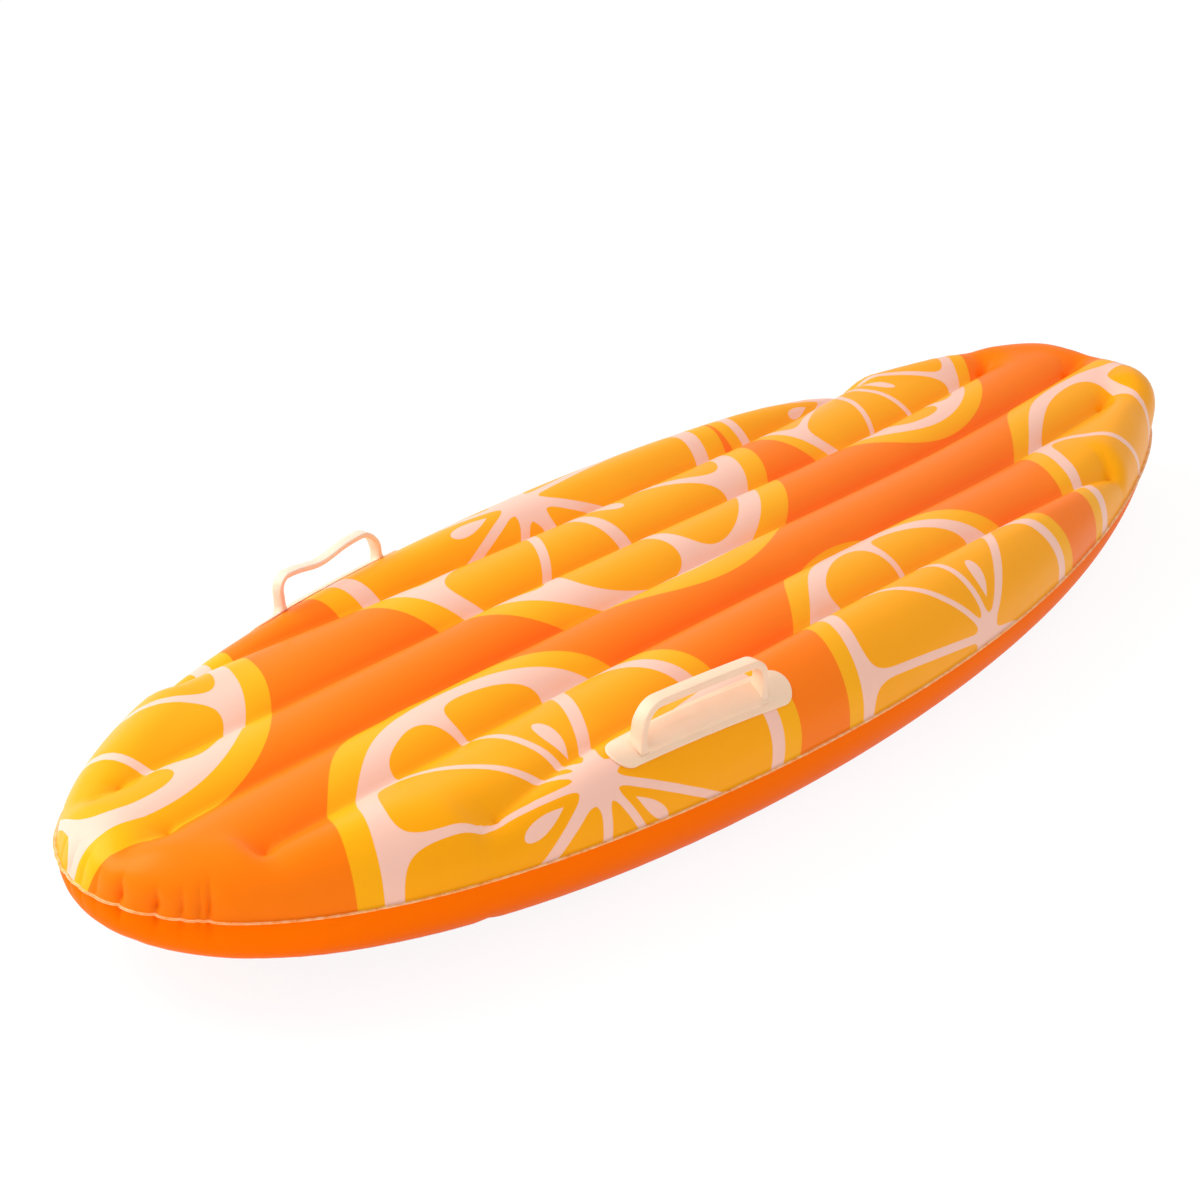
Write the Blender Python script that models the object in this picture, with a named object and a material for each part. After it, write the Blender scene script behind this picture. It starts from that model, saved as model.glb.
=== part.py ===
"""An inflatable float board for a pool.

Two PVC sheets are welded together round a surfboard outline and tied to each other by five lengthwise webs,
so that air pulls them into six tubes. Two grab handles are welded to the outer tubes, and a push-in valve
with a plug and a check flap sits in the underside near the tail. X runs towards the tail and Z up. The board
rests on the tubes' undersides at Z = 0.
"""

import math

import bmesh
import bpy
import numpy as np
from mathutils.geometry import delaunay_2d_cdt

# Outline at the weld, seen from above: an ellipse with a full round nose and a drawn-in tail
LENGTH = 1.730
WIDTH = 0.520
NOSE_FULLNESS = 0.178
NOSE_POWER = 3.0
TAIL_DRAW = 0.050
TAIL_FULLNESS = 0.220
TAIL_POWER = 9.0

# Film and weld
FILM = 0.0003
CLEARANCE = 0.0003
WELD_WIDTH = 0.003

# Inflated section: half the thickness at five stations from nose to tail, and the tubes
HALF_THICKNESS = (0.0405, 0.0756, 0.0762, 0.0611, 0.0526)
UNDERSIDE_FULLNESS = 1.04
ROCKER = 0.0245
CONTACT_FLAT = 0.0025
VALLEY_DEPTH = (0.016, 0.024)
VALLEY_DEEPENS = (-0.75, -0.15)
INNER_DROP = 0.006
DROP_ZONE = (0.5, 1.2)

# Webs: distance of the inner and the outer pair from the middle one, how much farther apart the outer pair
# stands at the board's ends, and how far each web stops short of the nose and of the tail
WEB_COUNT = 5
INNER_WEB = 0.080
OUTER_WEB = 0.160
OUTER_WEB_SPREAD = 0.032
TUBE_BLEND = 0.020
WEB_NOSE_GAP = (0.285, 0.104, 0.076, 0.104, 0.285)
WEB_TAIL_GAP = (0.309, 0.146, 0.083, 0.146, 0.309)
WEB_THICKNESS = 0.0003

# Grab handle: a welded plate that follows the outer tube, a raised land, and an upright loop
HANDLE_X = -0.332
HANDLE_FROM_EDGE = 0.027
HANDLE_TOE = 6.5
PLATE_LENGTH = 0.245
PLATE_WIDTH = 0.038
PLATE_THICKNESS = 0.0020
PLATE_ROUNDING = 0.0015
LAND_LENGTH = 0.186
LAND_WIDTH = 0.022
LAND_HEIGHT = 0.0035
LAND_DRAFT = 0.0015
LOOP_LENGTH = 0.164
LOOP_HEIGHT = 0.041
LOOP_WIDTH = 0.012
LOOP_THICKNESS = 0.007
LOOP_CORNER = 0.020
LOOP_ROUNDING = 0.0022

# Valve, in the crown of the tube beside the middle web
VALVE_FROM_TAIL = 0.250
VALVE_PAD_RADIUS = 0.024
VALVE_PAD_BLEND = 0.020
BASE_RADIUS = 0.0225
BASE_THICKNESS = 0.0010
COLLAR_BORE = 0.0095
COLLAR_WALL = 0.0012
COLLAR_GUIDE = 0.0061
COLLAR_PROUD = 0.0008
STEM_RADIUS = 0.0075
STEM_BORE = 0.0048
STEM_LIP = 0.0012
STEM_SKIRT = 0.0014
STEM_TRAVEL = 0.014
TAB_WIDTH = 0.006
PLUG_RADIUS = 0.0085
PLUG_HEAD = 0.0020
PEG_RADIUS = 0.0044
PEG_TIP = 0.0028
PEG_LENGTH = 0.0070
STRAP_WIDTH = 0.006
STRAP_THICKNESS = 0.0012
STRAP_REACH = 0.0130
TAB_OVERHANG = 0.0025
FLAP_RADIUS = 0.0056
FLAP_THICKNESS = 0.0005
FLAP_TAB_WIDTH = 0.003
FLAP_REACH = 0.0066

# How finely the shapes are divided
OUTLINE_POINTS = 1440
KEEL_POINTS = 401
SLOPE_STEP = 0.0005
SAME_PLACE = 1e-6
RIM_STATIONS = 80
WELD_ANGLES = (0, 18)
RIM_ANGLES = (36, 54, 72, 90)
COLUMNS = 33
ROWS_IN_HALF_TUBE = (0.33, 0.72)
DIMPLE_ANGLES = (-60, 0, 60)
LEAST_SPACING = 0.012
TURNED_SEGMENTS = 28
STADIUM_SIDE = 8
STADIUM_END = 6
SPINE_WIDTH = 0.002
LOOP_CORNER_POINTS = 6
LOOP_BAR_POINTS = 4
STRAP_END_POINTS = 7
SHARP_DEGREES = 35

SEAM_HALF = CLEARANCE / 2 + FILM
COLLAR_DEPTH = STEM_TRAVEL + STEM_SKIRT + COLLAR_GUIDE


def smooth_step(low, high, value):
    """0 below low, 1 above high, and a smooth climb between."""
    share = np.clip((value - low) / (high - low), 0, 1)
    return share * share * (3 - 2 * share)


def half_thickness(x):
    """Radius of the rounded rim at x, on the quartic through the five stations."""
    stations = np.linspace(-LENGTH / 2, LENGTH / 2, len(HALF_THICKNESS))
    quartic = np.polyfit(stations / LENGTH, HALF_THICKNESS, len(HALF_THICKNESS) - 1)
    return np.polyval(quartic, np.clip(x / LENGTH, -0.5, 0.5))


def half_width(x):
    """Half the board's width at x."""
    u = np.clip(2 * np.asarray(x, float) / LENGTH, -1, 1)
    nose = 1 + NOSE_FULLNESS * np.abs(u) ** NOSE_POWER
    tail = 1 - TAIL_DRAW * u ** 2 + TAIL_FULLNESS * np.abs(u) ** TAIL_POWER
    return WIDTH / 2 * np.sqrt(1 - u ** 2) * np.where(u < 0, nose, tail)


def outline(count):
    """Points round the outline, closer together at the two ends, and their inward normals."""
    turn = 2 * np.pi * (np.arange(count) + 0.5) / count
    x = -LENGTH / 2 * np.cos(turn)
    y = half_width(x) * np.sign(np.sin(turn))
    points = np.stack([x, y], axis=1)
    along = np.roll(points, -1, axis=0) - np.roll(points, 1, axis=0)
    inward = np.stack([along[:, 1], -along[:, 0]], axis=1)
    return points, inward / np.linalg.norm(inward, axis=1)[:, None]


EDGE, _ = outline(OUTLINE_POINTS)


def inside_distance(x, y):
    """Distance from the outline, below 0 outside it."""
    points = np.stack([np.ravel(x), np.ravel(y)], axis=1).astype(float)
    ahead = np.roll(EDGE, -1, axis=0) - EDGE
    away = points[:, None] - EDGE
    share = np.clip((away * ahead).sum(-1) / (ahead ** 2).sum(-1), 0, 1)
    distance = np.linalg.norm(away - share[..., None] * ahead, axis=-1).min(axis=1)
    inside = (np.abs(points[:, 0]) < LENGTH / 2) & (np.abs(points[:, 1]) < half_width(points[:, 0]))
    return np.where(inside, distance, -distance).reshape(np.shape(x))


def web_y(index, x):
    """Line of a web seen from above; the outer two spread towards the ends, where the tubes are thinner."""
    x = np.asarray(x, float)
    outer = OUTER_WEB + OUTER_WEB_SPREAD * (2 * x / LENGTH) ** 2
    return (outer, INNER_WEB + 0 * x, 0 * x, -INNER_WEB + 0 * x, -outer)[index]


def web_span(index):
    return -LENGTH / 2 + WEB_NOSE_GAP[index], LENGTH / 2 - WEB_TAIL_GAP[index]


def half_tube(index, x, across):
    """Half the width of the tube beside a web, which changes over smoothly at the web's line."""
    here = web_y(index, x)
    beside = [abs(web_y(other, x) - here) / 2 for other in (index + 1, index - 1) if 0 <= other < WEB_COUNT]
    return beside[0] + (beside[-1] - beside[0]) * smooth_step(-TUBE_BLEND, TUBE_BLEND, across)


def valley_depth(x):
    shallow, deep = VALLEY_DEPTH
    return shallow + (deep - shallow) * smooth_step(*VALLEY_DEEPENS, x)


def film_rise(x, y):
    """Height of the blown film over the weld: a round rim, less a valley of circular arcs over each web.

    A valley is as wide past the ends of its web as beside it, which leaves a round dimple there.
    """
    x, y = np.broadcast_arrays(np.asarray(x, float), np.asarray(y, float))
    radius = half_thickness(x)
    from_centre = np.clip(1 - inside_distance(x, y) / radius, 0, 1)
    rise = radius * np.sqrt(1 - from_centre ** 2)
    for index in range(WEB_COUNT):
        beside = np.clip(x, *web_span(index))
        across = y - web_y(index, beside)
        half = half_tube(index, beside, across)
        deep = valley_depth(beside)
        arc = (half ** 2 + deep ** 2) / (2 * deep)
        from_crown = np.clip(half - np.hypot(x - beside, across), 0, None)
        rise = rise - (arc - np.sqrt(arc ** 2 - from_crown ** 2))
    return np.maximum(rise, 0)


def rocker(x):
    return ROCKER * (2 * np.asarray(x, float) / LENGTH) ** 2


KEEL = np.linspace(-LENGTH / 2, LENGTH / 2, KEEL_POINTS)
SEAM_HEIGHT = (UNDERSIDE_FULLNESS * half_thickness(KEEL) + SEAM_HALF - rocker(KEEL)).max() - CONTACT_FLAT
VALVE = np.array([LENGTH / 2 - VALVE_FROM_TAIL, -INNER_WEB / 2])


def blown_underside(x, y):
    """Height of the bottom sheet's outer face before the floor and the valve flatten it."""
    return SEAM_HEIGHT + rocker(x) - SEAM_HALF - UNDERSIDE_FULLNESS * film_rise(x, y)


VALVE_Z = float(blown_underside(VALVE[0], VALVE[1]))


def top_height(x, y):
    """Height of the top sheet's outer face; the webs hold its inner tubes a little below the outer ones."""
    drop = INNER_DROP * smooth_step(*DROP_ZONE, inside_distance(x, y) / half_thickness(x))
    return SEAM_HEIGHT + rocker(x) + SEAM_HALF + film_rise(x, y) - drop


def bottom_height(x, y):
    """Height of the bottom sheet's outer face, with the valve's flat pad and the floor's flats."""
    from_valve = np.hypot(np.asarray(x) - VALVE[0], np.asarray(y) - VALVE[1])
    share = smooth_step(VALVE_PAD_RADIUS, VALVE_PAD_RADIUS + VALVE_PAD_BLEND, from_valve)
    return np.maximum(VALVE_Z * (1 - share) + blown_underside(x, y) * share, 0)


def linear(value):
    return value / 12.92 if value <= 0.04045 else ((value + 0.055) / 1.055) ** 2.4


def plastic(name, colour, roughness):
    """A plain Principled material from an RGB colour of 0 to 255 per channel."""
    material = bpy.data.materials.new(name)
    material.use_nodes = True
    shader = material.node_tree.nodes["Principled BSDF"]
    shader.inputs["Base Color"].default_value = (*(linear(channel / 255) for channel in colour), 1)
    shader.inputs["Roughness"].default_value = roughness
    shader.inputs["Metallic"].default_value = 0
    return material


def add_object(name, vertices, faces, material, origin=(0, 0, 0), parent=None):
    """Object with its origin at a point, from vertices in world metres; a closed mesh ends up facing out."""
    mesh = bpy.data.meshes.new(name)
    mesh.from_pydata((np.asarray(vertices, float) - np.asarray(origin, float)).tolist(), [], faces)
    solid = bmesh.new()
    solid.from_mesh(mesh)
    if all(edge.is_manifold for edge in solid.edges):
        bmesh.ops.recalc_face_normals(solid, faces=solid.faces)
    solid.to_mesh(mesh)
    solid.free()
    mesh.materials.append(material)
    mesh.shade_smooth()
    mesh.set_sharp_from_angle(angle=math.radians(SHARP_DEGREES))
    obj = bpy.data.objects.new(name, mesh)
    bpy.context.collection.objects.link(obj)
    obj.location = origin
    if parent is not None:
        obj.parent = parent
        obj.location = np.asarray(origin, float) - np.asarray(parent.location)
    return obj


def join(obj, tool, operation="UNION"):
    """Boolean the tool into the object; the tool itself stays a wire guide."""
    modifier = obj.modifiers.new(operation.title(), "BOOLEAN")
    modifier.operation = operation
    modifier.solver = "EXACT"
    modifier.object = tool
    tool.hide_render = True
    tool.display_type = "WIRE"


def ring_faces(rings, count, closed=False):
    """Quads between neighbouring rings of count vertices, and the last with the first where closed."""
    faces = []
    for ring in range(rings if closed else rings - 1):
        for step in range(count):
            ahead = (step + 1) % count
            low = ring * count
            high = (ring + 1) % rings * count
            faces.append((low + step, low + ahead, high + ahead, high + step))
    return faces


def circle(centre, radius, count):
    turn = 2 * np.pi * np.arange(count) / count
    return np.asarray(centre) + radius * np.stack([np.cos(turn), np.sin(turn)], axis=1)


def stadium(length, width):
    """Points round a slot shape with round ends, the same number for every size."""
    radius = width / 2
    straight = length / 2 - radius
    sides = np.linspace(-straight, straight, STADIUM_SIDE + 1)
    turn = np.linspace(-np.pi / 2, np.pi / 2, STADIUM_END + 1)[1:-1]
    right = np.stack([straight + radius * np.cos(turn), radius * np.sin(turn)], axis=1)
    lower = np.stack([sides, np.full(len(sides), -radius)], axis=1)
    return np.concatenate([lower, right, -lower, -right])


def handle_point(side, along, across):
    """Plan position of a point of the handle, which toes in with the outline at its place."""
    toe = math.radians(HANDLE_TOE)
    slope = math.acos(1 - HANDLE_FROM_EDGE / float(half_thickness(HANDLE_X)))
    across = np.asarray(across) * math.sin(slope)
    x = HANDLE_X + along * math.cos(toe) - across * math.sin(toe)
    y = half_width(HANDLE_X) - HANDLE_FROM_EDGE + along * math.sin(toe) + across * math.cos(toe)
    return x, side * y


def on_film(side, along, across, height):
    """Place of a point of the handle's plate, height above the film along the film's own normal."""
    x, y = handle_point(side, along, across)
    z = top_height(x, y)
    slope_x = (top_height(x + SLOPE_STEP, y) - top_height(x - SLOPE_STEP, y)) / (2 * SLOPE_STEP)
    slope_y = (top_height(x, y + SLOPE_STEP) - top_height(x, y - SLOPE_STEP)) / (2 * SLOPE_STEP)
    length = np.sqrt(1 + slope_x ** 2 + slope_y ** 2)
    normal = np.stack([-slope_x / length, -slope_y / length, 1 / length], axis=-1)
    return np.stack([x, y, z], axis=-1) + normal * np.asarray(height)[..., None]


def handle_plate(side):
    """Vertices and faces of the plate and its raised land, as slot-shaped rings from the underside up."""
    inner = PLATE_LENGTH - PLATE_WIDTH + SPINE_WIDTH
    crown = LAND_LENGTH - LAND_WIDTH + SPINE_WIDTH
    rounding = 2 * PLATE_ROUNDING
    foot = 2 * LAND_DRAFT
    sections = (
        (inner, SPINE_WIDTH, 0),
        (PLATE_LENGTH - PLATE_WIDTH / 2, PLATE_WIDTH / 2, 0),
        (PLATE_LENGTH, PLATE_WIDTH, 0),
        (PLATE_LENGTH, PLATE_WIDTH, PLATE_THICKNESS / 2),
        (PLATE_LENGTH - rounding, PLATE_WIDTH - rounding, PLATE_THICKNESS),
        (LAND_LENGTH + foot, LAND_WIDTH + foot, PLATE_THICKNESS),
        (LAND_LENGTH, LAND_WIDTH, PLATE_THICKNESS + LAND_HEIGHT),
        (crown, SPINE_WIDTH, PLATE_THICKNESS + LAND_HEIGHT),
    )
    count = 2 * (STADIUM_SIDE + STADIUM_END)
    rings = [
        on_film(side, *stadium(length, width).T, np.full(count, CLEARANCE + height))
        for length, width, height in sections
    ]
    faces = ring_faces(len(rings), count)
    faces.append(tuple(range(count)))
    faces.append(tuple(range(count * (len(rings) - 1), count * len(rings))))
    return np.concatenate(rings), faces


def loop_path():
    """Centre line of the loop as (along, height), up one leg, round its corners and down the other."""
    reach = LOOP_LENGTH / 2
    low = PLATE_THICKNESS
    turn = np.linspace(0, np.pi / 2, LOOP_CORNER_POINTS)
    bend = LOOP_CORNER * np.stack([1 - np.cos(turn), 1 - np.sin(turn)], axis=1)
    corner = np.array([reach, LOOP_HEIGHT]) - bend
    leg = np.array([[reach, low], [reach, (low + LOOP_HEIGHT - LOOP_CORNER) / 2]])
    run = np.linspace(reach - LOOP_CORNER, 0, LOOP_BAR_POINTS)[1:-1]
    bar = np.stack([run, np.full(len(run), LOOP_HEIGHT)], axis=1)
    half = np.concatenate([leg, corner, bar])
    middle = np.array([[0, LOOP_HEIGHT]])
    return np.concatenate([half, middle, (half * (-1, 1))[::-1]])


def handle_loop(side):
    """The loop's strip, a rounded rectangle carried along the path; its feet follow the plate's slope."""
    path = loop_path()
    ahead = np.gradient(path, axis=0)
    ahead /= np.linalg.norm(ahead, axis=1)[:, None]
    normal = np.stack([-ahead[:, 1], ahead[:, 0]], axis=1)
    wide = LOOP_WIDTH / 2
    deep = LOOP_THICKNESS / 2
    cut = LOOP_ROUNDING
    section = np.array([
        (wide, deep - cut), (wide - cut, deep), (cut - wide, deep), (-wide, deep - cut),
        (-wide, cut - deep), (cut - wide, -deep), (wide - cut, -deep), (wide, cut - deep),
    ])
    along = path[:, None, 0] + section[None, :, 1] * normal[:, None, 0]
    height = path[:, None, 1] + section[None, :, 1] * normal[:, None, 1]
    across = np.broadcast_to(section[None, :, 0], along.shape)
    level = np.clip(path[:, None, 1] / (LOOP_HEIGHT - LOOP_CORNER / 2), 0, 1) ** 2
    toe = math.radians(HANDLE_TOE)
    seat_x, seat_y = handle_point(side, along, 0 * across)
    foot_x, foot_y = handle_point(side, along, across * (1 - level))
    x = seat_x - across * math.sin(toe)
    y = seat_y + side * across * math.cos(toe)
    vertices = np.stack([x, y, top_height(foot_x, foot_y) + height], axis=-1)
    count = len(section)
    faces = ring_faces(len(path), count)
    faces.append(tuple(range(count)))
    faces.append(tuple(range(count * (len(path) - 1), count * len(path))))
    return vertices.reshape(-1, 3), faces


def far_from(points, others, least):
    """Which points lie at least so far from every one of the others."""
    gaps = np.linalg.norm(points[:, None] - others[None], axis=-1)
    return gaps.min(axis=1) >= least


class Plan:
    """Points and fixed edges of a sheet, seen from above, ready to be triangulated."""

    def __init__(self):
        self.points = np.zeros((0, 2))
        self.edges = []

    def line(self, points, closed=False):
        """Points joined one to the next by fixed edges."""
        first = len(self.points)
        self.points = np.concatenate([self.points, points])
        last = len(self.points) - 1
        self.edges += [(index, index + 1) for index in range(first, last)]
        if closed:
            self.edges.append((last, first))

    def scatter(self, points):
        """Free points, left out where one is there already."""
        self.points = np.concatenate([self.points, points[far_from(points, self.points, LEAST_SPACING)]])

    def thread(self, points):
        """A closed line that is broken wherever it comes near a point that is there already."""
        kept = far_from(points, self.points, LEAST_SPACING)
        numbers = len(self.points) + np.cumsum(kept) - 1
        self.points = np.concatenate([self.points, points[kept]])
        both = kept & np.roll(kept, -1)
        self.edges += np.stack([numbers, np.roll(numbers, -1)], axis=1)[both].tolist()

    def triangles(self):
        """Vertices and triangles over everything inside the outermost line."""
        flat, _, faces, _, _, _ = delaunay_2d_cdt(self.points.tolist(), self.edges, [], 0, SAME_PLACE)
        return np.array([tuple(vertex) for vertex in flat]), np.array([tuple(face) for face in faces])


def weld(plan):
    """The flange outside the outline, and the steep foot of the rim inside it."""
    edge, inward = outline(RIM_STATIONS)
    radius = half_thickness(edge[:, 0])
    plan.line(edge - inward * WELD_WIDTH, closed=True)
    for angle in WELD_ANGLES:
        plan.line(edge + inward * (radius * (1 - math.cos(math.radians(angle))))[:, None], closed=True)


def rim_rings(plan):
    """The inner rings of the rim, which give way to the valleys, the handles and the valve."""
    edge, inward = outline(RIM_STATIONS)
    radius = half_thickness(edge[:, 0])
    for angle in RIM_ANGLES:
        plan.thread(edge + inward * (radius * (1 - math.cos(math.radians(angle))))[:, None])


def stations_between(first, last):
    """Lengthwise stations from first to last, with both ends."""
    columns = np.linspace(-LENGTH / 2, LENGTH / 2, COLUMNS)
    between = columns[(columns > first + LEAST_SPACING) & (columns < last - LEAST_SPACING)]
    return np.concatenate([[first], between, [last]])


def beside_web(index, x, side, share):
    """Points beside a web, at a share of the tube's half width on one side of it; side 0 is its own line."""
    offset = side * share * half_tube(index, x, side * TUBE_BLEND)
    return np.stack([x, web_y(index, x) + offset], axis=1)


def valleys(plan):
    """Fixed lines along each web and beside it, with a fan of points round each dimple."""
    for index in range(WEB_COUNT):
        first, last = web_span(index)
        x = stations_between(first, last)
        for side in (0, 1, -1):
            plan.line(beside_web(index, x, side, ROWS_IN_HALF_TUBE[0]))
        for end, ahead in ((first, -1), (last, 1)):
            turn = np.radians(DIMPLE_ANGLES)
            spokes = half_tube(index, end, 0) * np.stack([ahead * np.cos(turn), np.sin(turn)], axis=1)
            for share in ROWS_IN_HALF_TUBE:
                fan = share * spokes + (end, web_y(index, end))
                plan.scatter(fan[inside_distance(fan[:, 0], fan[:, 1]) > LEAST_SPACING])


def tube_rows(plan):
    """Free points along the tubes' shoulders, over the part inside the rim."""
    columns = np.linspace(-LENGTH / 2, LENGTH / 2, COLUMNS)[1:-1]
    for index in range(WEB_COUNT):
        for share in (0,) + ROWS_IN_HALF_TUBE:
            for side in (1, -1) if share else (0,):
                row = beside_web(index, columns, side, share)
                depth = inside_distance(row[:, 0], row[:, 1]) - half_thickness(row[:, 0])
                plan.scatter(row[depth > LEAST_SPACING / 2])


def sheet(name, height, facing, plan, material, hole=None):
    """A welded sheet: its plan lifted to the given height, with the film's thickness turned inwards."""
    flat, faces = plan.triangles()
    if hole is not None:
        centre, radius = hole
        middle = flat[faces].mean(axis=1)
        faces = faces[np.linalg.norm(middle - centre, axis=1) > radius * math.cos(math.pi / TURNED_SEGMENTS)]
    corners = flat[faces]
    side = corners[:, 1] - corners[:, 0]
    other = corners[:, 2] - corners[:, 0]
    upward = side[:, 0] * other[:, 1] - side[:, 1] * other[:, 0] > 0
    faces = np.where((upward == (facing > 0))[:, None], faces, faces[:, ::-1])
    used, faces = np.unique(faces, return_inverse=True)
    flat = flat[used]
    vertices = np.column_stack([flat, height(flat[:, 0], flat[:, 1])])
    obj = add_object(name, vertices, faces.reshape(-1, 3).tolist(), material)
    thickness = obj.modifiers.new("Film", "SOLIDIFY")
    thickness.thickness = FILM
    thickness.offset = -1
    thickness.use_even_offset = True
    thickness.use_quality_normals = True
    return obj


def top_sheet(material):
    plan = Plan()
    weld(plan)
    valleys(plan)
    for side in (1, -1):
        for length, width in ((PLATE_LENGTH, PLATE_WIDTH), (PLATE_LENGTH - PLATE_WIDTH / 2, PLATE_WIDTH / 2)):
            plan.scatter(np.stack(handle_point(side, *stadium(length, width).T), axis=1))
    rim_rings(plan)
    tube_rows(plan)
    return sheet("top_sheet", top_height, 1, plan, material)


def bottom_sheet(material):
    plan = Plan()
    weld(plan)
    valleys(plan)
    hole_radius = COLLAR_BORE + COLLAR_WALL + CLEARANCE
    plan.line(circle(VALVE, hole_radius, TURNED_SEGMENTS), closed=True)
    plan.line(circle(VALVE, VALVE_PAD_RADIUS, TURNED_SEGMENTS), closed=True)
    plan.scatter(circle(VALVE, VALVE_PAD_RADIUS + VALVE_PAD_BLEND / 2, TURNED_SEGMENTS // 2))
    rim_rings(plan)
    tube_rows(plan)
    return sheet("bottom_sheet", bottom_height, -1, plan, material, hole=(VALVE, hole_radius))


def web(index, material):
    """A strip of film on edge, from the top sheet's valley to the bottom sheet's."""
    first, last = web_span(index)
    x = stations_between(first, last)
    y = web_y(index, x)
    tube = np.minimum(half_tube(index, x, TUBE_BLEND), half_tube(index, x, -TUBE_BLEND))
    deep = valley_depth(x)
    lean = (tube ** 2 - deep ** 2) / (tube ** 2 + deep ** 2)
    inset = FILM / lean + CLEARANCE
    upper = top_height(x, y) - inset
    lower = bottom_height(x, y) + inset
    half = WEB_THICKNESS / 2
    rings = [np.stack([x, y + across, z], axis=1) for across, z in
             ((-half, lower), (half, lower), (half, upper), (-half, upper))]
    vertices = np.stack(rings, axis=1).reshape(-1, 3)
    faces = ring_faces(len(x), len(rings))
    faces.append((3, 2, 1, 0))
    faces.append(tuple(range(len(vertices) - 4, len(vertices))))
    add_object(f"web_{index + 1}", vertices, faces, material)


def turned(profile, closed):
    """Vertices and faces of a (radius, depth) profile turned about the valve's axis.

    Depth is measured downwards from the pad's outer face. A closed profile is a ring; an open one starts and
    ends on the axis.
    """
    turn = 2 * np.pi * np.arange(TURNED_SEGMENTS) / TURNED_SEGMENTS
    rings = [
        np.stack([VALVE[0] + radius * np.cos(turn), VALVE[1] + radius * np.sin(turn),
                  np.full(len(turn), VALVE_Z - depth)], axis=1)
        for radius, depth in profile
    ]
    faces = ring_faces(len(rings), TURNED_SEGMENTS, closed)
    if not closed:
        faces.append(tuple(range(TURNED_SEGMENTS)))
        faces.append(tuple(range(TURNED_SEGMENTS * (len(rings) - 1), TURNED_SEGMENTS * len(rings))))
    return np.concatenate(rings), faces


def strip(profile, width):
    """A side profile of (distance from the axis towards the tail, depth), extruded across the valve."""
    edges = []
    for across in (-width / 2, width / 2):
        edges += [(VALVE[0] + reach, VALVE[1] + across, VALVE_Z - depth) for reach, depth in profile]
    faces = ring_faces(2, len(profile))
    faces.append(tuple(range(len(profile))))
    faces.append(tuple(range(len(profile), 2 * len(profile))))
    return edges, faces


def valve_body(material):
    """The base disc welded inside the bottom sheet, with the collar that guides the stem."""
    base_low = -(FILM + CLEARANCE)
    base_high = base_low - BASE_THICKNESS
    outer = COLLAR_BORE + COLLAR_WALL
    profile = (
        (COLLAR_BORE, COLLAR_PROUD), (outer, COLLAR_PROUD), (outer, base_low), (BASE_RADIUS, base_low),
        (BASE_RADIUS, base_high), (outer, base_high), (outer, -COLLAR_DEPTH), (COLLAR_BORE, -COLLAR_DEPTH),
    )
    add_object("valve_body", *turned(profile, closed=True), material)


LIP_LOW = COLLAR_PROUD + CLEARANCE
LIP_TOP = LIP_LOW + STEM_LIP
STEM_END = -COLLAR_DEPTH + CLEARANCE
PLUG_SEAT = LIP_TOP + CLEARANCE
STRAP_MIDDLE = PLUG_SEAT + STRAP_THICKNESS / 2


def valve_stem(material):
    """The mouthpiece: a soft tube with a lip that rests on the collar, a skirt that runs in it, and a tab."""
    lip = COLLAR_BORE + COLLAR_WALL
    skirt = COLLAR_BORE - CLEARANCE
    profile = (
        (STEM_BORE, LIP_TOP), (lip, LIP_TOP), (lip, LIP_LOW), (STEM_RADIUS, LIP_LOW),
        (STEM_RADIUS, STEM_END + STEM_SKIRT), (skirt, STEM_END + STEM_SKIRT), (skirt, STEM_END),
        (STEM_BORE, STEM_END),
    )
    origin = (VALVE[0], VALVE[1], VALVE_Z)
    stem = add_object("valve_stem", *turned(profile, closed=True), material, origin)
    inner = (STEM_RADIUS + lip) / 2
    outer = STRAP_REACH + TAB_OVERHANG
    tab = ((inner, LIP_LOW), (outer, LIP_LOW), (outer, LIP_TOP), (inner, LIP_TOP))
    join(stem, add_object("stem_tab", *strip(tab, TAB_WIDTH), material))
    return stem


def valve_plug(material, stem):
    """The plug's head and tapered peg, on a strap whose round end turns over the stem's tab."""
    rounding = PLUG_HEAD / 4
    profile = (
        (PEG_TIP, PLUG_SEAT - PEG_LENGTH), (PEG_RADIUS, PLUG_SEAT), (PLUG_RADIUS, PLUG_SEAT),
        (PLUG_RADIUS, PLUG_SEAT + PLUG_HEAD - rounding), (PLUG_RADIUS - rounding, PLUG_SEAT + PLUG_HEAD),
    )
    hinge = (VALVE[0] + STRAP_REACH, VALVE[1], VALVE_Z - STRAP_MIDDLE)
    plug = add_object("valve_plug", *turned(profile, closed=False), material, hinge, stem)
    turn = np.linspace(-np.pi / 2, np.pi / 2, STRAP_END_POINTS)
    half = STRAP_THICKNESS / 2
    end = [(STRAP_REACH + half * math.cos(angle), STRAP_MIDDLE + half * math.sin(angle)) for angle in turn]
    root = (PEG_RADIUS + PLUG_RADIUS) / 2
    side = [(root, STRAP_MIDDLE - half)] + end + [(root, STRAP_MIDDLE + half)]
    join(plug, add_object("plug_strap", *strip(side, STRAP_WIDTH), material))


def check_flap(material, stem):
    """The thin disc that air from outside lifts and air from inside shuts, hung at the stem's inner end."""
    near = STEM_END - CLEARANCE
    far = near - FLAP_THICKNESS
    hinge = (VALVE[0] + FLAP_REACH, VALVE[1], VALVE_Z - (near + far) / 2)
    disc = turned(((FLAP_RADIUS, near), (FLAP_RADIUS, far)), closed=False)
    flap = add_object("check_flap", *disc, material, hinge, stem)
    root = FLAP_RADIUS / 2
    tab = ((root, near), (FLAP_REACH, near), (FLAP_REACH, far), (root, far))
    join(flap, add_object("flap_tab", *strip(tab, FLAP_TAB_WIDTH), material))


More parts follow.
